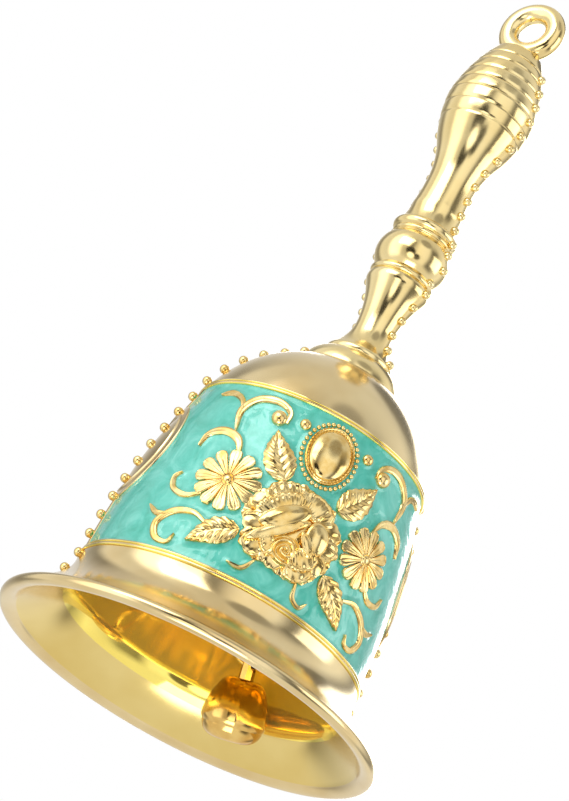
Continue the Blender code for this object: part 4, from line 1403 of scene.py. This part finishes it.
@dataclass(frozen=True)
class Studio:
    """Pale floor, soft lights, and a camera that looks up at the mouth of the bell."""

    camera_place: tuple[float, float, float] = (-66.0, -394.5, -111.5)
    heading: float = 8.49
    pitch: float = 21.64
    roll: float = 28.27
    lens: float = 129.8
    floor_half: float = 2500.0
    floor_gap: float = 0.2
    floor_solid: float = 60.0
    floor_gone: float = 420.0
    # Levels of the surround by heading in degrees, where 0 is straight at the front.
    panels: tuple[tuple[float, float], ...] = (
        (-180, 0.85), (-140, 0.25), (-128, 1.0), (-100, 0.8), (-90, 1.9), (-64, 1.9), (-52, 0.75), (-40, 0.65),
        (-31, 0.28), (-25, 0.30), (-16, 0.9), (-5, 1.25), (26, 1.1), (38, 0.16), (58, 0.22), (72, 0.78),
        (100, 1.1), (124, 0.25), (136, 1.0), (180, 0.85))
    # Round patches of the surround: heading, elevation, half-angle and level.
    spots: tuple[tuple[float, float, float, float], ...] = (
        (-26, -2, 13, 0.02), (-4, -15, 10, 0.03), (-22, -19, 9, 2.2), (12, 54, 13, 0.40), (140, 50, 12, 0.22))
    spot_blur: float = 3.0
    # How far those levels reach down and up, and the plain room beyond them.
    reach: tuple[tuple[float, float], ...] = (
        (-1.0, 0.0), (-0.60, 0.0), (-0.40, 1.0), (0.62, 1.0), (0.85, 0.15), (1.0, 0.0))
    room: tuple[tuple[float, float], ...] = ((0.0, 0.9), (0.45, 0.95), (0.95, 0.8))

    def camera(self) -> None:
        """Set the camera by its place, heading, pitch and roll."""
        data = bpy.data.cameras.new("studio_camera")
        data.sensor_width = 36.0
        data.lens = self.lens
        data.clip_start = 0.01
        data.dof.use_dof = False
        camera = linked("studio_camera", data)
        yaw, pitch, roll = (math.radians(a) for a in (self.heading, self.pitch, self.roll))
        forward = Vector((math.sin(yaw) * math.cos(pitch), math.cos(yaw) * math.cos(pitch), math.sin(pitch)))
        level = Vector((math.cos(yaw), -math.sin(yaw), 0))
        upright = level.cross(forward)
        right = math.cos(roll) * level + math.sin(roll) * upright
        up = -math.sin(roll) * level + math.cos(roll) * upright
        turn = Matrix((right, up, -forward)).transposed().to_4x4()
        camera.matrix_world = Matrix.Translation(Vector(self.camera_place) * MM) @ turn
        bpy.context.scene.camera = camera

    def panel(self, name: str, place_mm: tuple[float, float, float], target: tuple[float, float, float],
              size_mm: tuple[float, float], watts: float) -> None:
        """Hang one soft panel light aimed at a point."""
        data = bpy.data.lights.new(name, "AREA")
        data.shape = "RECTANGLE"
        data.size, data.size_y = size_mm[0] * MM, size_mm[1] * MM
        data.energy = watts
        light = linked(name, data)
        spot = Vector(place_mm) * MM
        light.location = spot
        light.rotation_euler = (Vector(target) * MM - spot).to_track_quat("-Z", "Y").to_euler()

    def lights(self) -> None:
        """Hang the key panel, the fill and the rim panels."""
        middle = (0.0, 0.0, 55.0)
        self.panel("key_panel", (-480.0, -360.0, 420.0), middle, (420.0, 420.0), 1.6)
        self.panel("fill_panel", (520.0, -260.0, 160.0), middle, (360.0, 420.0), 0.9)
        self.panel("mouth_panel", (-60.0, -300.0, -420.0), (0.0, 0.0, 10.0), (300.0, 300.0), 1.0)
        self.panel("rim_panel", (220.0, 480.0, 260.0), middle, (420.0, 420.0), 1.4)

    def world(self) -> None:
        """Set the pale surround: plain white to the eye, and a softbox studio in the metal's reflections."""
        world = bpy.data.worlds.new("studio_surround")
        bpy.context.scene.world = world
        world.use_nodes = True
        tree = world.node_tree
        tree.nodes.clear()
        direction = add_node(tree, "ShaderNodeTexCoord").outputs["Generated"]
        along = add_node(tree, "ShaderNodeSeparateXYZ", inputs={"Vector": direction}).outputs
        front = add_node(tree, "ShaderNodeMath", {"operation": "MULTIPLY"}, {0: along["Y"], 1: -1.0})
        around = add_node(tree, "ShaderNodeMath", {"operation": "ARCTAN2"}, {
            0: along["X"], 1: front.outputs["Value"]})
        share = add_node(tree, "ShaderNodeMapRange", inputs={
            "Value": around.outputs["Value"], "From Min": -math.pi, "From Max": math.pi}).outputs["Result"]
        wall = add_node(tree, "ShaderNodeValToRGB", inputs={"Fac": share})
        walls = set_ramp(wall, [(0.5 + at / 360, grey(level)) for at, level in self.panels])
        height = add_node(tree, "ShaderNodeMapRange", inputs={
            "Value": along["Z"], "From Min": -1.0, "From Max": 1.0}).outputs["Result"]
        reach = add_node(tree, "ShaderNodeValToRGB", inputs={"Fac": height})
        fade = set_ramp(reach, [(0.5 + at / 2, grey(level)) for at, level in self.reach])
        open_room = add_node(tree, "ShaderNodeValToRGB", inputs={"Fac": height})
        rooms = set_ramp(open_room, [(at, grey(level)) for at, level in self.room])
        blend = add_node(tree, "ShaderNodeMixRGB", inputs={"Fac": fade, "Color1": rooms, "Color2": walls})
        room = blend.outputs["Color"]
        for heading, rise, half, level in self.spots:
            turn, lift = math.radians(heading), math.radians(rise)
            toward = (math.sin(turn) * math.cos(lift), -math.cos(turn) * math.cos(lift), math.sin(lift))
            aim = add_node(tree, "ShaderNodeVectorMath", {"operation": "DOT_PRODUCT"}, {0: direction, 1: toward})
            cover = add_node(tree, "ShaderNodeMapRange", inputs={
                "Value": aim.outputs["Value"], "From Min": math.cos(math.radians(half + self.spot_blur)),
                "From Max": math.cos(math.radians(half))})
            patched = add_node(tree, "ShaderNodeMixRGB", inputs={
                "Fac": cover.outputs["Result"], "Color1": room, "Color2": grey(level)})
            room = patched.outputs["Color"]
        studio = add_node(tree, "ShaderNodeBackground", inputs={"Color": room, "Strength": 1.0})
        plain = add_node(tree, "ShaderNodeBackground", inputs={"Color": (1, 1, 1, 1), "Strength": 1.0})
        seen = add_node(tree, "ShaderNodeLightPath").outputs["Is Camera Ray"]
        mixed = add_node(tree, "ShaderNodeMixShader", inputs={
            0: seen, 1: studio.outputs["Background"], 2: plain.outputs["Background"]})
        add_node(tree, "ShaderNodeOutputWorld", inputs={"Surface": mixed.outputs["Shader"]})

    def floor(self) -> None:
        """Lay the pale floor under the lip: seen only from above, and melting into the surround further out."""
        half = self.floor_half
        corners = np.array([(-half, -half, 0), (half, -half, 0), (half, half, 0), (-half, half, 0)])
        mesh = mesh_from("studio_floor", corners, [(0, 1, 2, 3)])
        material, tree = node_material("floor_pale_paint")
        tree.nodes.clear()
        paint = add_node(tree, "ShaderNodeBsdfDiffuse", inputs={"Color": linear("#F4F3F0")})
        clear = add_node(tree, "ShaderNodeBsdfTransparent")
        below = add_node(tree, "ShaderNodeNewGeometry").outputs["Backfacing"]
        seen = add_node(tree, "ShaderNodeLightPath").outputs["Is Camera Ray"]
        above = add_node(tree, "ShaderNodeMath", {"operation": "SUBTRACT", "use_clamp": True}, {0: seen, 1: below})
        place = add_node(tree, "ShaderNodeTexCoord").outputs["Object"]
        away = add_node(tree, "ShaderNodeVectorMath", {"operation": "LENGTH"}, {0: place})
        melt = add_node(tree, "ShaderNodeMapRange", {"interpolation_type": "SMOOTHSTEP"}, {
            "Value": away.outputs["Value"], "From Min": self.floor_solid * MM, "From Max": self.floor_gone * MM,
            "To Min": 1.0, "To Max": 0.0})
        share = add_node(tree, "ShaderNodeMath", {"operation": "MULTIPLY"}, {
            0: above.outputs["Value"], 1: melt.outputs["Result"]})
        mixed = add_node(tree, "ShaderNodeMixShader", inputs={
            0: share.outputs["Value"], 1: clear.outputs["BSDF"], 2: paint.outputs["BSDF"]})
        add_node(tree, "ShaderNodeOutputMaterial", inputs={"Surface": mixed.outputs["Shader"]})
        mesh.materials.append(material)
        floor = linked("studio_floor", mesh)
        floor.location = (0, 0, -self.floor_gap * MM)

    def build(self) -> None:
        """Set up the whole studio."""
        self.camera()
        self.lights()
        self.world()
        self.floor()
        bpy.context.scene.view_settings.view_transform = "Standard"


# ---- Main ----

def joint_of(name: str) -> tuple[Vector, Vector]:
    """Place of a joint of the record, in mm, and its axis."""
    found = next(joint for joint in frame["joints"] if joint["name"] == name)
    return Vector(found["pos_m"]) / MM, Vector(found["axis"])


def main() -> None:
    """Build every sub-assembly in order."""
    logging.basicConfig(level=logging.INFO, format="%(message)s")
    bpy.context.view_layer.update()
    shop = Workshop.open()
    cup_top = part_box("bell_cup")[1]
    handle_foot, handle_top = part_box("handle")
    (eye_hinge, swing_axis), (link_hinge, _), (ring_hinge, _) = map(
        joint_of, ("eye_hinge", "link_hinge", "ring_hinge"))
    Cup(FieldSurface(), cup_top.x / MM, cup_top.z / MM).build(shop)
    Handle(handle_foot.z / MM, handle_top.z / MM).build(shop)
    EyeBolt(eye_hinge, swing_axis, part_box("eye_bolt")[1].z / MM).build(shop)
    Chain(eye_hinge, link_hinge, ring_hinge, swing_axis).build(shop)
    Studio().build()


if __name__ == "__main__":
    main()
